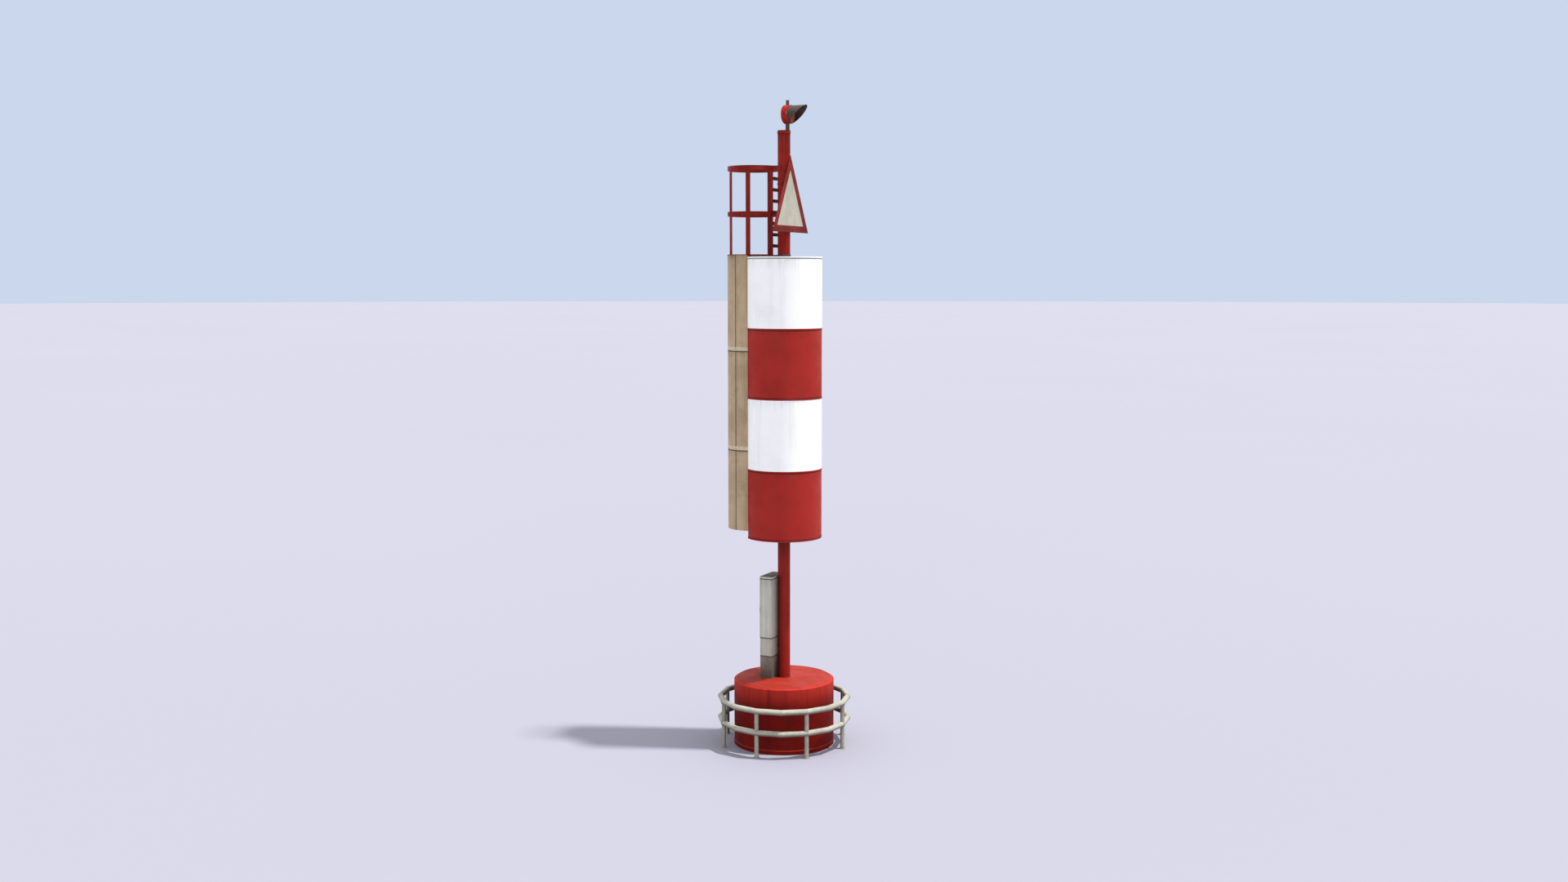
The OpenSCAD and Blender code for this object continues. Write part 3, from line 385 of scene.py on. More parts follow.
def circuit_board():
    """Green lacquer over copper tracks."""
    s = Shader("circuit_board_lacquer", Metallic=0.0)
    tracks = s.step(s.noise(90.0, 1.0, 0.4, s.stretched(1.0, 1.0, 6.0)), 0.48, 0.52)
    colour = s.mix(tracks, srgb(24, 82, 50), srgb(38, 112, 66))
    s.bumps((tracks, 0.1 * MM))
    return s.finish(colour, s.step(tracks, 0.0, 1.0, 0.3, 0.45))


def amber_lens():
    """Amber moulding that light passes into, slightly dusty."""
    s = Shader("amber_lens_ribbed", Metallic=0.0, IOR=1.49, Transmission_Weight=0.15, Coat_Weight=0.2)
    dust = s.noise(24.0, 5.0, 0.7)
    colour = s.mix(s.step(dust, 0.4, 0.7, 0.0, 0.5), srgb(206, 92, 2), srgb(168, 72, 4))
    s.bumps((dust, 0.1 * MM))
    return s.finish(colour, s.step(dust, 0.3, 0.7, 0.16, 0.34))


def led_dome():
    """The warm-tinted clear dome of a light-emitting diode."""
    s = Shader("led_dome_clear", Metallic=0.0, IOR=1.5, Coat_Weight=0.6)
    glow = s.noise(140.0, 2.0, 0.5)
    colour = s.mix(glow, srgb(244, 220, 150), srgb(230, 190, 96))
    s.bumps((glow, 0.05 * MM))
    return s.finish(colour, s.step(glow, 0.3, 0.7, 0.1, 0.2))


def red_band_stains_and_shade(s):
    """Painted shade in the corners beside the rims, and brown patches where the paint has weathered."""
    # painted shade: dark lines in the corners where the rims meet the band
    rims = s.lines([DRUM_BOTTOM + RIM_H, BAND_TOPS[0] - RIM_H, BAND_TOPS[1] + RIM_H, BAND_TOPS[2] - RIM_H])
    brown = s.step(s.noise(1.0, 6.0, 0.72, s.stretched(3.2, 3.2, 0.9)), 0.48, 0.74)
    return [(brown, 0.42, srgb(118, 52, 40)), (rims, 0.8, srgb(72, 18, 14))]


def white_band_film_and_shade(s):
    """Painted shade in the corner under the top rim, and a thin grey film below it."""
    film = s.step(s.noise(0.9, 4.0, 0.6), 0.50, 0.72)
    # painted shade: a dark line under the top rim
    return [(film, 0.16, srgb(196, 198, 196)), (s.lines([BAND_TOPS[3] - RIM_H]), 0.75, srgb(96, 94, 92))]


def shaft_stains_and_shade(s):
    """Dark long seams, and painted shade under each collar, with flaked paint on the rim above each joint.
    """
    seam_x = SHAFT_X - SHAFT_COLLAR_R * math.cos(math.radians(SHAFT_GROOVE_ANGLE))
    seam = s.near(s.x, seam_x, 8 * MM, 34 * MM)
    undersides = [joint - COLLAR_H - 8 * MM for joint in SHAFT_JOINTS[:-1]]
    rims = s.most([s.near(s.z, level + 60 * MM, 35 * MM, 80 * MM) for level in undersides])
    flakes = s.both(rims, s.step(s.noise(34.0, 5.0, 0.75), 0.40, 0.52))
    blotches = s.step(s.noise(2.4, 6.0, 0.75), 0.50, 0.72)
    # painted shade: a dark line just under the lower edge of each collar
    joints = s.lines(undersides, 10 * MM, 26 * MM)
    return [(blotches, 0.3, srgb(120, 100, 74)), (seam, 0.62, srgb(84, 68, 50)),
            (flakes, 0.8, srgb(216, 202, 172)), (joints, 0.85, srgb(70, 56, 42))]


def cabinet_stains(s):
    """Darker edges, black joints between the boxes, and a dirty lid."""
    low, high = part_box("cabinet_battery_case")
    edge = s.step(s.calc("ABSOLUTE", s.calc("SUBTRACT", s.x, (low.x + high.x) / 2)), 0.08, 0.17)
    lower_dirt = s.step(s.z, low.z, low.z + 0.9, 1.0, 0.0)
    upward = s.upward()
    lid_top = s.both(s.step(upward, 0.35, 0.7), s.calc("GREATER_THAN", s.z, CABINET_SEAMS[1]))
    wall = s.step(s.calc("ABSOLUTE", upward), 0.3, 0.6, 1.0, 0.0)
    joints = s.both(s.lines(CABINET_SEAMS, 9 * MM, 24 * MM), wall)
    return [(edge, 0.3, srgb(128, 126, 114)), (lower_dirt, 0.35, srgb(142, 134, 122)),
            (lid_top, 0.9, srgb(70, 60, 55)), (joints, 0.85, srgb(58, 54, 48))]


def mast_shade_and_cap_line(s):
    """The mast has painted shade under the drum and on its rear beside the cabinet, and a dark line at the
    lower edge of its cap.
    """
    # painted shade: the mast darkens towards the underside of the drum
    under_drum_shade = s.step(s.z, DRUM_BOTTOM - 1.4, DRUM_BOTTOM, 0.0, 1.0)
    below_drum_shade = s.both(under_drum_shade, s.calc("LESS_THAN", s.z, DRUM_BOTTOM))
    # painted shade: the rear of the mast beside the cabinet is painted darker
    rear = s.step(s.x, -0.10, 0.06, 1.0, 0.0)
    cabinet_side_shade = s.both(rear, s.calc("LESS_THAN", s.z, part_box("cabinet_lid")[1].z))
    return [(below_drum_shade, 0.3, srgb(86, 22, 14)), (cabinet_side_shade, 0.6, srgb(56, 12, 8)),
            (s.lines([MAST_TOP - 0.105]), 0.6, srgb(66, 16, 11))]


def topmark_red_stains(s):
    """The foot bar is dark where rain keeps it wet."""
    return [(s.step(s.z, TOPMARK_Z + 0.05, TOPMARK_Z + 0.3, 1.0, 0.0), 0.55, srgb(84, 18, 10))]


def ladder_rung_shade(s):
    """Painted shade makes the rungs nearly black."""
    ladder = s.near(s.x, RUNG_X, RUNG_DEPTH / 2, RUNG_DEPTH / 2 + 5 * MM)
    between = s.calc("LESS_THAN", s.calc("ABSOLUTE", s.y), STILE_INNER_Y)
    # painted shade: the rungs between the stiles are painted nearly black
    return [(s.both(ladder, between), 0.7, srgb(44, 10, 7))]


PAINTS = {
    "foundation_paint": foundation_paint(),
    "concrete": concrete(),
    "rail_paint": rail_paint(),
    "mast_paint": weathered_paint(
        "mast_paint_worn_and_shaded", srgb(148, 32, 20), srgb(130, 27, 17), srgb(88, 20, 13), 0.5, 22.0,
        rust=srgb(78, 40, 26), rust_share=0.5, grime=srgb(60, 17, 12),
        drip_levels=(DRUM_BOTTOM, MAST_TOP - 0.1), drip_reach=0.6, drip_share=0.6, stains_and_shade=mast_shade_and_cap_line),
    "band_red": weathered_paint(
        "band_red_worn_and_shaded", srgb(166, 38, 31), srgb(154, 36, 29), srgb(136, 46, 36), 0.4, 7.0,
        rust=srgb(96, 48, 34), rust_share=0.25, grime=srgb(110, 26, 20),
        drip_levels=(BAND_TOPS[0] - RIM_H, BAND_TOPS[2] - RIM_H), drip_reach=0.25, drip_share=0.4,
        stains_and_shade=red_band_stains_and_shade),
    "band_white": weathered_paint(
        "band_white_worn_and_shaded", srgb(252, 252, 249), srgb(247, 248, 244), srgb(224, 223, 216), 0.35, 5.0,
        rust=srgb(170, 160, 140), rust_share=0.08, grime=srgb(168, 168, 162),
        drip_levels=(BAND_TOPS[3] - RIM_H, BAND_TOPS[1]), drip_reach=0.35, drip_share=0.3,
        stains_and_shade=white_band_film_and_shade),
    "galvanised": galvanised("galvanised_steel", srgb(176, 180, 184), srgb(136, 140, 144)),
    "shaft_beige": weathered_paint(
        "shaft_beige_worn_and_shaded", srgb(188, 166, 134), srgb(172, 150, 119), srgb(132, 110, 82), 0.5, 6.0,
        rust=srgb(96, 74, 50), rust_share=0.35, grime=srgb(74, 59, 42),
        drip_levels=SHAFT_JOINTS, drip_reach=0.22, drip_share=0.6, stains_and_shade=shaft_stains_and_shade),
    "cage_paint": weathered_paint(
        "cage_paint_worn_and_shaded", srgb(138, 32, 22), srgb(116, 25, 17), srgb(72, 18, 12), 0.6, 16.0,
        rust=srgb(84, 42, 26), rust_share=0.6, stains_and_shade=ladder_rung_shade),
    "topmark_white": weathered_paint(
        "topmark_white_worn", srgb(184, 182, 167), srgb(168, 166, 150), srgb(144, 138, 118), 0.5, 5.0,
        rust=srgb(140, 104, 74), rust_share=0.3, grime=srgb(120, 108, 86),
        drip_levels=(TOPMARK_Z + TOPMARK_H,), drip_reach=2.2, drip_share=0.25),
    "topmark_red": weathered_paint(
        "topmark_red_worn", srgb(132, 30, 18), srgb(112, 24, 15), srgb(84, 19, 12), 0.6, 12.0,
        rust=srgb(84, 42, 28), rust_share=0.5, stains_and_shade=topmark_red_stains),
    "cabinet_paint": weathered_paint(
        "cabinet_paint_worn", srgb(204, 204, 190), srgb(188, 187, 173), srgb(148, 144, 128), 0.4, 9.0,
        rust=srgb(116, 92, 68), rust_share=0.3, grime=srgb(100, 94, 80),
        drip_levels=CABINET_SEAMS, drip_reach=0.3, drip_share=0.4, stains_and_shade=cabinet_stains),
    "zinc": galvanised("zinc_plated", srgb(160, 162, 164), srgb(132, 134, 136), (0.34, 0.5)),
    "dark_plastic": moulded("dark_plastic_grained", srgb(40, 40, 42), srgb(58, 58, 60)),
    "controller_case": moulded("controller_case_grained", srgb(158, 164, 168), srgb(140, 146, 150)),
    "dark_metal": dark_metal(),
    "lamp_red": weathered_paint(
        "lamp_red_worn", srgb(166, 34, 24), srgb(146, 30, 21), srgb(106, 28, 19), 0.5, 20.0,
        rust=srgb(88, 46, 30), rust_share=0.5),
    "circuit_board": circuit_board(),
    "led_clear": led_dome(),
    "amber_lens": amber_lens(),
}
RUBBER = moulded("sealant_rubber", srgb(34, 32, 32), srgb(52, 48, 46), roughness=(0.6, 0.85))
WELD_RED = weathered_paint("weld_red", srgb(126, 28, 19), srgb(104, 22, 15), srgb(70, 18, 13), 0.5, 30.0)
WELD_CREAM = weathered_paint("weld_cream", srgb(160, 150, 132), srgb(128, 114, 96), srgb(96, 74, 54),
                             0.6, 30.0, rust=srgb(110, 64, 40), rust_share=0.7)


# ---------------------------------------------------------------- mesh building

def turned(angle, radius, z=0.0):
    """A point at an angle in degrees and a radius about the mast axis."""
    a = math.radians(angle)
    return Vector((radius * math.cos(a), radius * math.sin(a), z))


def facing(at, normal):
    """A frame at a point, with its Z axis along normal."""
    return Matrix.Translation(at) @ Vector(normal).to_track_quat("Z", "Y").to_matrix().to_4x4()


def add_lathe(bm, place, profile, sides=24):
    """Turns (radius, height) points round the Z axis of place. Zero radii close the ends."""
    rings = []
    for radius, height in profile:
        if radius < 1e-6:
            rings.append([bm.verts.new(place @ Vector((0, 0, height)))])
            continue
        rings.append([bm.verts.new(place @ turned(360 * i / sides, radius, height)) for i in range(sides)])
    for a, b in zip(rings, rings[1:]):
        for i in range(sides):
            j = (i + 1) % sides
            corners = [a[i % len(a)], a[j % len(a)], b[j % len(b)], b[i % len(b)]]
            corners = list(dict.fromkeys(corners))
            if len(corners) > 2:
                bm.faces.new(corners)


def add_tube(bm, points, radius, sides=8, closed=True):
    """A round bead along a line of points."""
    count = len(points)
    rings = []
    for i, point in enumerate(points):
        before = points[(i - 1) % count] if closed or i > 0 else point
        after = points[(i + 1) % count] if closed or i < count - 1 else point
        place = facing(point, (after - before).normalized())
        rings.append([place @ turned(360 * k / sides, radius) for k in range(sides)])
    for i in range(1, count):
        shift = min(range(sides), key=lambda k: (rings[i][k] - rings[i - 1][0]).length)
        rings[i] = rings[i][shift:] + rings[i][:shift]
    verts = [[bm.verts.new(p) for p in ring] for ring in rings]
    for i in range(count if closed else count - 1):
        a, b = verts[i], verts[(i + 1) % count]
        shift = min(range(sides), key=lambda k: (b[k].co - a[0].co).length)
        for k in range(sides):
            n = (k + 1) % sides
            bm.faces.new([a[k], a[n], b[(n + shift) % sides], b[(k + shift) % sides]])
    if not closed:
        bm.faces.new(verts[0])
        bm.faces.new(verts[-1])


def add_bolt(bm, at, normal, radius, height, washer=True):
    """A hexagon head on a washer."""
    place = facing(at, normal)
    base = 0.0
    if washer:
        base = 0.22 * radius
        add_lathe(bm, place, [(0, -radius * 0.1), (1.45 * radius, -radius * 0.1),
                              (1.45 * radius, base * 0.8), (1.38 * radius, base), (0, base)], 20)
    add_lathe(bm, place, [(0, base * 0.5), (radius, base * 0.5), (radius, base + 0.78 * height),
                          (0.86 * radius, base + height), (0, base + height)], 6)


def add_rivet(bm, at, normal, radius):
    """A low round head."""
    add_lathe(bm, facing(at, normal), [(0, -radius * 0.2), (radius, -radius * 0.2), (radius, 0),
                                       (0.8 * radius, 0.35 * radius), (0.4 * radius, 0.52 * radius),
                                       (0, 0.56 * radius)], 12)


def piece(name, bm, material, body, smooth_angle=35):
    """Turns a bmesh into a piece of the object that rides on a body."""
    bmesh.ops.recalc_face_normals(bm, faces=bm.faces)
    mesh = bpy.data.meshes.new(name)
    bm.to_mesh(mesh)
    bm.free()
    mesh.materials.append(material)
    made = bpy.data.objects.new(name, mesh)
    bpy.context.scene.collection.objects.link(made)
    smooth(made, smooth_angle)
    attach(made, body)
    return made


def smooth(item, degrees):
    """Soft shading, except at edges sharper than an angle."""
    for polygon in item.data.polygons:
        polygon.use_smooth = True
    item.data.set_sharp_from_angle(angle=math.radians(degrees))


# ---------------------------------------------------------------- CAD nodes

def dress_cad_nodes():
    """Gives each CAD node its slot's material and soft shading, and breaks the sharp edges of plates."""
    slots = {row["node"]: row["material_slot"] for row in frame["record"]["subparts"]}
    for node, item in frame["nodes"].items():
        item.data.materials.clear()
        item.data.materials.append(PAINTS[slots[node]])
        smooth(item, 30)
    edge_widths = {
        "cabinet_plinth": 12 * MM, "cabinet_controller": 6 * MM, "cabinet_batteries": 5 * MM,
        "ladder_stile_left": 2 * MM, "ladder_stile_right": 2 * MM, "cage_strips": 2 * MM,
        "topmark_frame_left": 1.5 * MM, "topmark_frame_right": 1.5 * MM,
        "topmark_frame_bottom": 1.5 * MM, "cabinet_lid": 4 * MM,
    }
    for node, width in edge_widths.items():
        bevel = frame["nodes"][node].modifiers.new("broken_edges", "BEVEL")
        bevel.width = width
        bevel.segments = 2
        bevel.limit_method = "ANGLE"
        bevel.angle_limit = math.radians(50)


# ---------------------------------------------------------------- guard ring and foundation

def whole_turn(steps):
    """The angles of a closed line, in radians."""
    return [math.tau * i / steps for i in range(steps)]


def saddle(post_angle, rail_z, side, gap=2 * MM):
    """The line where a post meets a rail, above (1) or below (-1) it."""
    reach = RAIL_R + gap
    points = []
    for a in whole_turn(28):
        outward = (POST_R + gap) * math.cos(a)
        along = (POST_R + gap) * math.sin(a)
        off_axis = outward * math.cos(MITRE) + abs(along) * math.sin(MITRE)
        rise = math.sqrt(max(reach ** 2 - off_axis ** 2, 0))
        local = Vector((GUARD_R + outward, along, rail_z + side * rise))
        points.append(Matrix.Rotation(math.radians(post_angle), 4, "Z") @ local)
    return points


def mitre_ring(angle, rail_z):
    """The oval line where two lengths of rail meet."""
    outward = turned(angle, RAIL_R / math.cos(MITRE))
    upward = Vector((0, 0, RAIL_R))
    corner = turned(angle, GUARD_R, rail_z)
    return [corner + outward * math.cos(a) + upward * math.sin(a) for a in whole_turn(28)]


def guard_ring_details():
    """Weld beads at the posts and the mitres, and nuts on the anchor studs."""
    post_bead, foot_bead, mitre_bead = 6 * MM, 5 * MM, 4 * MM
    nut_r, nut_h = 10 * MM, 9 * MM
    stud_r, stud_h, chamfer = 5.5 * MM, 22 * MM, 1 * MM
    lower, top = RAIL_LEVELS
    welds = bmesh.new()
    nuts = bmesh.new()
    for k in range(POST_COUNT):
        angle = 360 * k / POST_COUNT
        for rail_z, side in ((lower, -1), (lower, 1), (top, -1)):
            add_tube(welds, saddle(angle, rail_z, side), post_bead, 8)
        centre = turned(angle, GUARD_R)
        foot_ring = [centre + turned(15 * i, POST_R + 2 * MM, FOOT_TOP + 1 * MM) for i in range(24)]
        add_tube(welds, foot_ring, foot_bead, 8)
        for corner in (angle, angle + 180 / POST_COUNT):
            for rail_z in RAIL_LEVELS:
                add_tube(welds, mitre_ring(corner, rail_z), mitre_bead, 6)
        for i in range(4):
            at = centre + turned(angle + 45 + 90 * i, FOOT_HOLES_R, FOOT_TOP)
            add_bolt(nuts, at, (0, 0, 1), nut_r, nut_h)
            add_lathe(nuts, facing(at, (0, 0, 1)), [
                (0, 0), (stud_r, 0), (stud_r, stud_h - 2 * chamfer), (stud_r - chamfer, stud_h), (0, stud_h)
            ], 12)
    piece("guard_ring_welds", welds, WELD_CREAM, "root")
    piece("post_foot_nuts", nuts, PAINTS["zinc"], "root")


def mast_details():
    """Weld seams, the screws of the cap, and a rubber collar where the mast leaves the drum."""
    welds = bmesh.new()
    foot = [turned(7.5 * i, MAST_R + 3 * MM, FOUNDATION_TOP + 2 * MM) for i in range(48)]
    add_tube(welds, foot, 10 * MM, 8)
    for level in MAST_WELD_LEVELS:
        add_tube(welds, [turned(7.5 * i, MAST_R, level) for i in range(48)], 4 * MM, 6)
    piece("mast_welds", welds, WELD_RED, "root")

    screws = bmesh.new()
    screw_z = MAST_TOP - 62 * MM
    for i in range(8):
        angle = 22.5 + 45 * i
        add_bolt(screws, turned(angle, CAP_R - 0.5 * MM, screw_z), turned(angle, 1), 9 * MM, 6 * MM)
    piece("mast_cap_screws", screws, PAINTS["mast_paint"], "root")

    collars = bmesh.new()
    bore_r, lip_r, lip_t, collar_h = MAST_R + 1 * MM, MAST_R + 75 * MM, 10 * MM, 100 * MM
    profile = [
        (lip_r, 0),
        (lip_r - 3 * MM, lip_t),
        (MAST_R + 24 * MM, lip_t + 12 * MM),
        (MAST_R + 10 * MM, collar_h - 5 * MM),
        (bore_r, collar_h),
        (bore_r, 0),
        (lip_r, 0),
    ]
    for z, up in ((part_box("daymark_deck")[1].z, 1), (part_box("daymark_floor")[0].z, -1)):
        add_lathe(collars, facing(Vector((0, 0, z)), (0, 0, up)), profile, 64)
    piece("mast_seal_collars", collars, RUBBER, "root")


# ---------------------------------------------------------------- drum, shaft and cage

def drum_details():
    """Rivets round the rims and down the free edges, painted over with their band."""
    inset = RIM_H / 2
    rims = {"red": [DRUM_BOTTOM + inset, BAND_TOPS[0] - inset, BAND_TOPS[1] + inset, BAND_TOPS[2] - inset],
            "white": [BAND_TOPS[3] - inset]}
    bands = {"red": (0, 2), "white": (1, 3)}
    rim_pitch = 14          # degrees
    edge_angle = 133        # of the rows beside the ladder shaft
    edge_rivets = 12        # in one row of one band
    for tone in ("red", "white"):
        rivets = bmesh.new()
        for level in rims[tone]:
            for i in range(-9, 10):
                angle = rim_pitch * i
                add_rivet(rivets, turned(angle, DRUM_RIM_R, level), turned(angle, 1), 11 * MM)
        for band in bands[tone]:
            for i in range(edge_rivets):
                level = DRUM_BOTTOM + BAND_PITCH * (band + (i + 1) / (edge_rivets + 1))
                for angle in (-edge_angle, edge_angle):
                    add_rivet(rivets, turned(angle, DRUM_R, level), turned(angle, 1), 8 * MM)
        piece(f"drum_rivets_{tone}", rivets, PAINTS[f"band_{tone}"], "root")


def shaft_details():
    """Rivets in the collars of the ladder shaft."""
    rivets = bmesh.new()
    centre = Vector((SHAFT_X, 0, 0))
    rivet_pitch = 13        # degrees
    for joint in SHAFT_JOINTS:
        for i in range(-7, 8):
            angle = 180 + rivet_pitch * i
            at = centre + turned(angle, SHAFT_COLLAR_R, joint - COLLAR_H / 2)
            add_rivet(rivets, at, turned(angle, 1), 8 * MM)
    piece("shaft_rivets", rivets, PAINTS["shaft_beige"], "root")


def cage_details():
    """Two bolts where each upright strip crosses a hoop."""
    bolts = bmesh.new()
    centre = Vector((SHAFT_X, 0, 0))
    bolt_offset = 2.6       # degrees from the middle of a strip
    for node in ("cage_mid_hoop", "cage_top_hoop"):
        level = middle(node).z
        for strip in STRIP_ANGLES:
            for offset in (-bolt_offset, bolt_offset):
                angle = 180 + strip + offset
                add_bolt(bolts, centre + turned(angle, HOOP_R, level), turned(angle, 1), 9 * MM, 7 * MM)
    piece("cage_bolts", bolts, PAINTS["cage_paint"], "root")


def ladder_details():
    """A weld bead round each end of each rung, which is a box section with cut corners."""
    welds = bmesh.new()
    x, z = RUNG_DEPTH / 2, RUNG_H / 2
    cut = 5 * MM
    outline = ((x, cut - z), (x, z - cut), (x - cut, z), (cut - x, z),
               (-x, z - cut), (-x, cut - z), (cut - x, -z), (x - cut, -z))
    for i in range(RUNG_COUNT):
        level = RUNG_LOW + i * RUNG_PITCH
        for side in (-1, 1):
            y = side * (STILE_INNER_Y - 2 * MM)
            ring = [Vector((RUNG_X + across, y, level + up)) for across, up in outline]
            add_tube(welds, ring, 3.5 * MM, 6)
    piece("rung_welds", welds, WELD_RED, "root")


# ---------------------------------------------------------------- topmark

def topmark_details():
    """Bolt heads along the middle of the three border bars, on the triangle of their middle lines."""
    base_angle = math.atan2(TOPMARK_H, TOPMARK_HALF_W)
    half = TOPMARK_BORDER / 2
    foot_y = TOPMARK_HALF_W - half / math.tan(base_angle / 2)
    apex_z = TOPMARK_H - half / math.cos(base_angle)
    corners = (Vector((0, -foot_y, half)), Vector((0, foot_y, half)), Vector((0, 0, apex_z)))
    bolts = bmesh.new()
    bolts_a_bar = 7
    for a, b in zip(corners, corners[1:] + corners[:1]):
        for i in range(bolts_a_bar):
            at = a.lerp(b, i / bolts_a_bar) + Vector((TOPMARK_FRONT, 0, TOPMARK_Z))
            add_bolt(bolts, at, (1, 0, 0), 10 * MM, 7 * MM)
    piece("topmark_bolts", bolts, PAINTS["topmark_red"], "root")


# ---------------------------------------------------------------- cabinet

def add_louvre(bm, centre, width, height, depth):
    """A pressed vent hood on a face that looks along -X, open at its bottom."""
    columns, rows = 14, 6
    grid = []
    for r in range(rows + 1):
        v = r / rows
        line = []
        for c in range(columns + 1):
            u = c / columns
            end = min(1.0, 6 * min(u, 1 - u))
            bulge = depth * math.sin(math.pi / 2 * (1 - v)) * math.sin(math.pi / 2 * end)
            y = centre.y + (u - 0.5) * width
            line.append(bm.verts.new((centre.x - bulge, y, centre.z + (v - 0.5) * height)))
        grid.append(line)
    for r in range(rows):
        for c in range(columns):
            bm.faces.new([grid[r][c], grid[r][c + 1], grid[r + 1][c + 1], grid[r + 1][c]])
    back = [bm.verts.new((centre.x + 1 * MM, v.co.y, v.co.z)) for v in grid[0]]
    for c in range(columns):
        bm.faces.new([back[c], back[c + 1], grid[0][c + 1], grid[0][c]])


def rectangle(x0, x1, y0, y1, z, points_a_side):
    """The points of a level rectangular line."""
    corners = [Vector((x0, y0, z)), Vector((x1, y0, z)), Vector((x1, y1, z)), Vector((x0, y1, z))]
    points = []
    for a, b in zip(corners, corners[1:] + corners[:1]):
        points += [a.lerp(b, t / points_a_side) for t in range(points_a_side)]
    return points


def cabinet_details():
    """Louvres in the door, seals between the boxes, and mortar round the plinth."""
    low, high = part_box("cabinet_door")
    louvres = bmesh.new()
    group_inset, louvre_pitch = 0.17, 42 * MM
    louvre_w, louvre_h, louvre_d = 0.34, 26 * MM, 9 * MM
    for middle_z in (low.z + group_inset, high.z - group_inset):
        for i in range(-2, 3):
            centre = Vector((low.x, 0, middle_z + louvre_pitch * i))
            add_louvre(louvres, centre, louvre_w, louvre_h, louvre_d)
    piece("cabinet_door_louvres", louvres, PAINTS["cabinet_paint"], "cabinet_door", 60)

    seal = bmesh.new()
    low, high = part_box("cabinet_plinth")
    inset = 4 * MM
    door_side_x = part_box("cabinet_housing")[0].x + inset
    half_y = size("cabinet_lid").y / 2 - 30 * MM
    for z in sorted(CABINET_SEAMS):
        add_tube(seal, rectangle(door_side_x, high.x - inset, -half_y, half_y, z, 8), 3 * MM, 6)
    piece("cabinet_seals", seal, RUBBER, "root")

    foot = bmesh.new()
    reach = 6 * MM
    points = rectangle(low.x - reach, high.x + reach, low.y - reach, high.y + reach,
                       FOUNDATION_TOP + 2 * MM, 12)
    add_tube(foot, points, 9 * MM, 8)
    piece("plinth_mortar_bead", foot, PAINTS["concrete"], "root")


# ---------------------------------------------------------------- lamp

def on_lamp_axis(radius, angle, x):
    """A point about the lamp's axis, its angle counted from the top."""
    a = math.radians(angle)
    return Vector((x, radius * math.sin(a), LAMP_Z + radius * math.cos(a)))


def lamp_details():
    """Screws of the rear cover and of the bezel, and two ribs rolled into the housing."""
    screws = bmesh.new()
    cover_x = 10 * MM
    for i in range(8):
        angle = 22.5 + 45 * i
        add_rivet(screws, on_lamp_axis(LAMP_R - 23 * MM, angle, cover_x), (-1, 0, 0), 8 * MM)
    piece("lamp_cover_screws", screws, PAINTS["lamp_red"], "lamp_head")

    ribs = bmesh.new()
    place = facing(Vector((0, 0, LAMP_Z)), (1, 0, 0))
    root_r, crown_r, half_w = LAMP_R - 1 * MM, LAMP_R + 3 * MM, 5 * MM
    for x in (34 * MM, 205 * MM):
        add_lathe(ribs, place, [
            (root_r, x - half_w),
            (crown_r - 1 * MM, x - half_w + 1 * MM),
            (crown_r, x),
            (crown_r - 1 * MM, x + half_w - 1 * MM),
            (root_r, x + half_w),
            (root_r, x - half_w),
        ], 96)
    piece("lamp_housing_ribs", ribs, PAINTS["lamp_red"], "lamp_head")

    bezel_screws = bmesh.new()
    bezel_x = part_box("lamp_bezel")[1].x
    for i in range(12):
        at = on_lamp_axis(LAMP_R - 36 * MM, 15 + 30 * i, bezel_x)
        add_bolt(bezel_screws, at, (1, 0, 0), 6 * MM, 4 * MM)
    piece("lamp_bezel_screws", bezel_screws, PAINTS["zinc"], "lamp_door")


def lamp_lens():
    """The amber lens with its ring-shaped ribs, in the place of the plain CAD disc."""
    low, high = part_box("lamp_lens")
    radius = size("lamp_lens").y / 2
    depth = high.x - low.x
    rim_w = 9 * MM
    ribs = 13
    profile = [(0, low.x), (radius, low.x), (radius, low.x + 0.33 * depth)]
    for i in range(ribs):
        outer = (radius - rim_w) * (1 - i / ribs)
        inner = (radius - rim_w) * (1 - (i + 1) / ribs)
        crown = low.x + depth * (1 - 0.55 * (outer / radius) ** 2)
        valley = crown - 0.22 * depth
        profile += [(outer, valley), (outer - 0.25 * (outer - inner), crown)]
    profile.append((0, high.x - 0.5 * MM))
    bm = bmesh.new()
    add_lathe(bm, facing(Vector((0, 0, LAMP_Z)), (1, 0, 0)), profile, 96)
    lens = piece("lamp_lens_ribbed", bm, PAINTS["amber_lens"], "lamp_door", 25)
    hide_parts("lamp_lens")


def hood_edges():
    """A rolled edge along the slanted mouth, and the flange that holds the hood on the bezel."""
    slope = (HOOD_R - HOOD_BOTTOM) / (HOOD_TIP_X - HOOD_BASE_X)
    mouth_r, bead_r = HOOD_R - 1.5 * MM, 4 * MM
    reach = math.degrees(math.acos(HOOD_BOTTOM / mouth_r)) - 1.0
    steps = 72
    angles = [-reach + 2 * reach * i / steps for i in range(steps + 1)]
    mouth = []
    for angle in angles:
        height = mouth_r * math.cos(math.radians(angle))
        x = HOOD_BASE_X + (height - HOOD_BOTTOM) / slope
        mouth.append(on_lamp_axis(mouth_r, angle, max(x, HOOD_BASE_X + 3 * MM)))
    flange = [on_lamp_axis(HOOD_R + 1 * MM, angle, HOOD_BASE_X + bead_r) for angle in angles]
    edges = bmesh.new()
    add_tube(edges, mouth, bead_r, 10, closed=False)
    add_tube(edges, flange, bead_r, 8, closed=False)
    piece("lamp_hood_edges", edges, PAINTS["dark_metal"], "lamp_door")


# ---------------------------------------------------------------- floor, light and camera

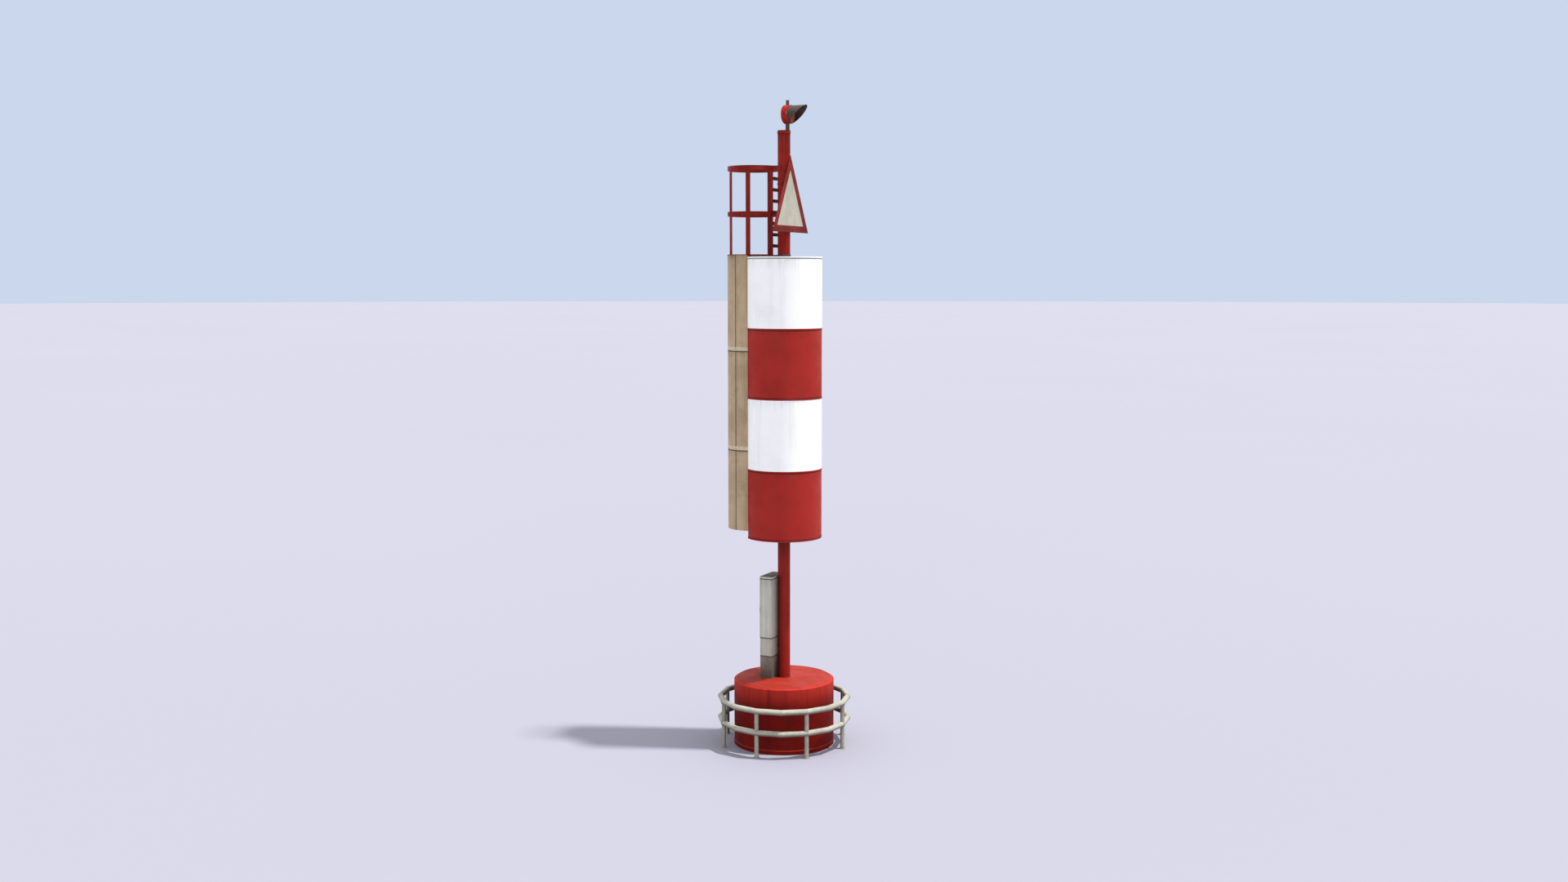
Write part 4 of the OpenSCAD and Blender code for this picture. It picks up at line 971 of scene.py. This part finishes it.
FLOOR_R = 900
KEY_ELEVATION = 70          # angles in degrees
KEY_AZIMUTH = 20
CAMERA_AZIMUTH = 24.8
CAMERA_DOWN = 5.8
CAMERA_DISTANCE = 43.36
CAMERA_Z = 12.81


def floor():
    """A plain pale floor that reaches to the horizon."""
    bm = bmesh.new()
    add_lathe(bm, Matrix.Identity(4), [(0, 0), (FLOOR_R, 0)], 64)
    mesh = bpy.data.meshes.new("floor")
    bm.to_mesh(mesh)
    bm.free()
    made = bpy.data.objects.new("floor", mesh)
    bpy.context.scene.collection.objects.link(made)
    s = Shader("floor_pale", Metallic=0.0)
    tone = s.noise(0.02, 2.0, 0.5)
    mesh.materials.append(s.finish(s.mix(tone, srgb(146, 145, 157), srgb(149, 148, 160)), 0.9))


def key_light():
    """A high light from the front, with slightly soft shadows."""
    sun = bpy.data.lights.new("key", "SUN")
    sun.energy = 4.2
    sun.angle = math.radians(3)
    sun.color = (1.0, 0.985, 0.96)
    made = bpy.data.objects.new("key", sun)
    elevation = math.radians(KEY_ELEVATION)
    toward = turned(KEY_AZIMUTH, math.cos(elevation), math.sin(elevation))
    made.rotation_euler = toward.to_track_quat("Z", "Y").to_euler()
    bpy.context.scene.collection.objects.link(made)


def surroundings():
    """Even light from all round, with a pale blue backdrop behind the white bands."""
    world = bpy.data.worlds.new("studio")
    world.use_nodes = True
    tree = world.node_tree
    light = tree.nodes["Background"]
    light.inputs["Color"].default_value = srgb(232, 234, 240)
    light.inputs["Strength"].default_value = 1.28
    backdrop = tree.nodes.new("ShaderNodeBackground")
    backdrop.inputs["Color"].default_value = srgb(203, 215, 236)
    seen = tree.nodes.new("ShaderNodeLightPath").outputs["Is Camera Ray"]
    either = tree.nodes.new("ShaderNodeMixShader")
    tree.links.new(seen, either.inputs[0])
    tree.links.new(light.outputs[0], either.inputs[1])
    tree.links.new(backdrop.outputs[0], either.inputs[2])
    tree.links.new(either.outputs[0], tree.nodes["World Output"].inputs["Surface"])
    bpy.context.scene.world = world
    bpy.context.scene.view_settings.view_transform = "Standard"


def camera():
    """Looks at the tower from its right-hand front, a little downwards."""
    azimuth = math.radians(CAMERA_AZIMUTH)
    data = bpy.data.cameras.new("camera")
    data.lens = 36.56
    data.sensor_width = 36.0
    data.clip_end = 2000
    made = bpy.data.objects.new("camera", data)
    made.location = (CAMERA_DISTANCE * math.sin(azimuth), -CAMERA_DISTANCE * math.cos(azimuth), CAMERA_Z)
    made.rotation_euler = (math.radians(90 - CAMERA_DOWN), 0, azimuth)
    bpy.context.scene.collection.objects.link(made)
    bpy.context.scene.camera = made


camera()
dress_cad_nodes()
guard_ring_details()
mast_details()
drum_details()
shaft_details()
cage_details()
ladder_details()
topmark_details()
cabinet_details()
lamp_details()
lamp_lens()
hood_edges()
floor()
key_light()
surroundings()
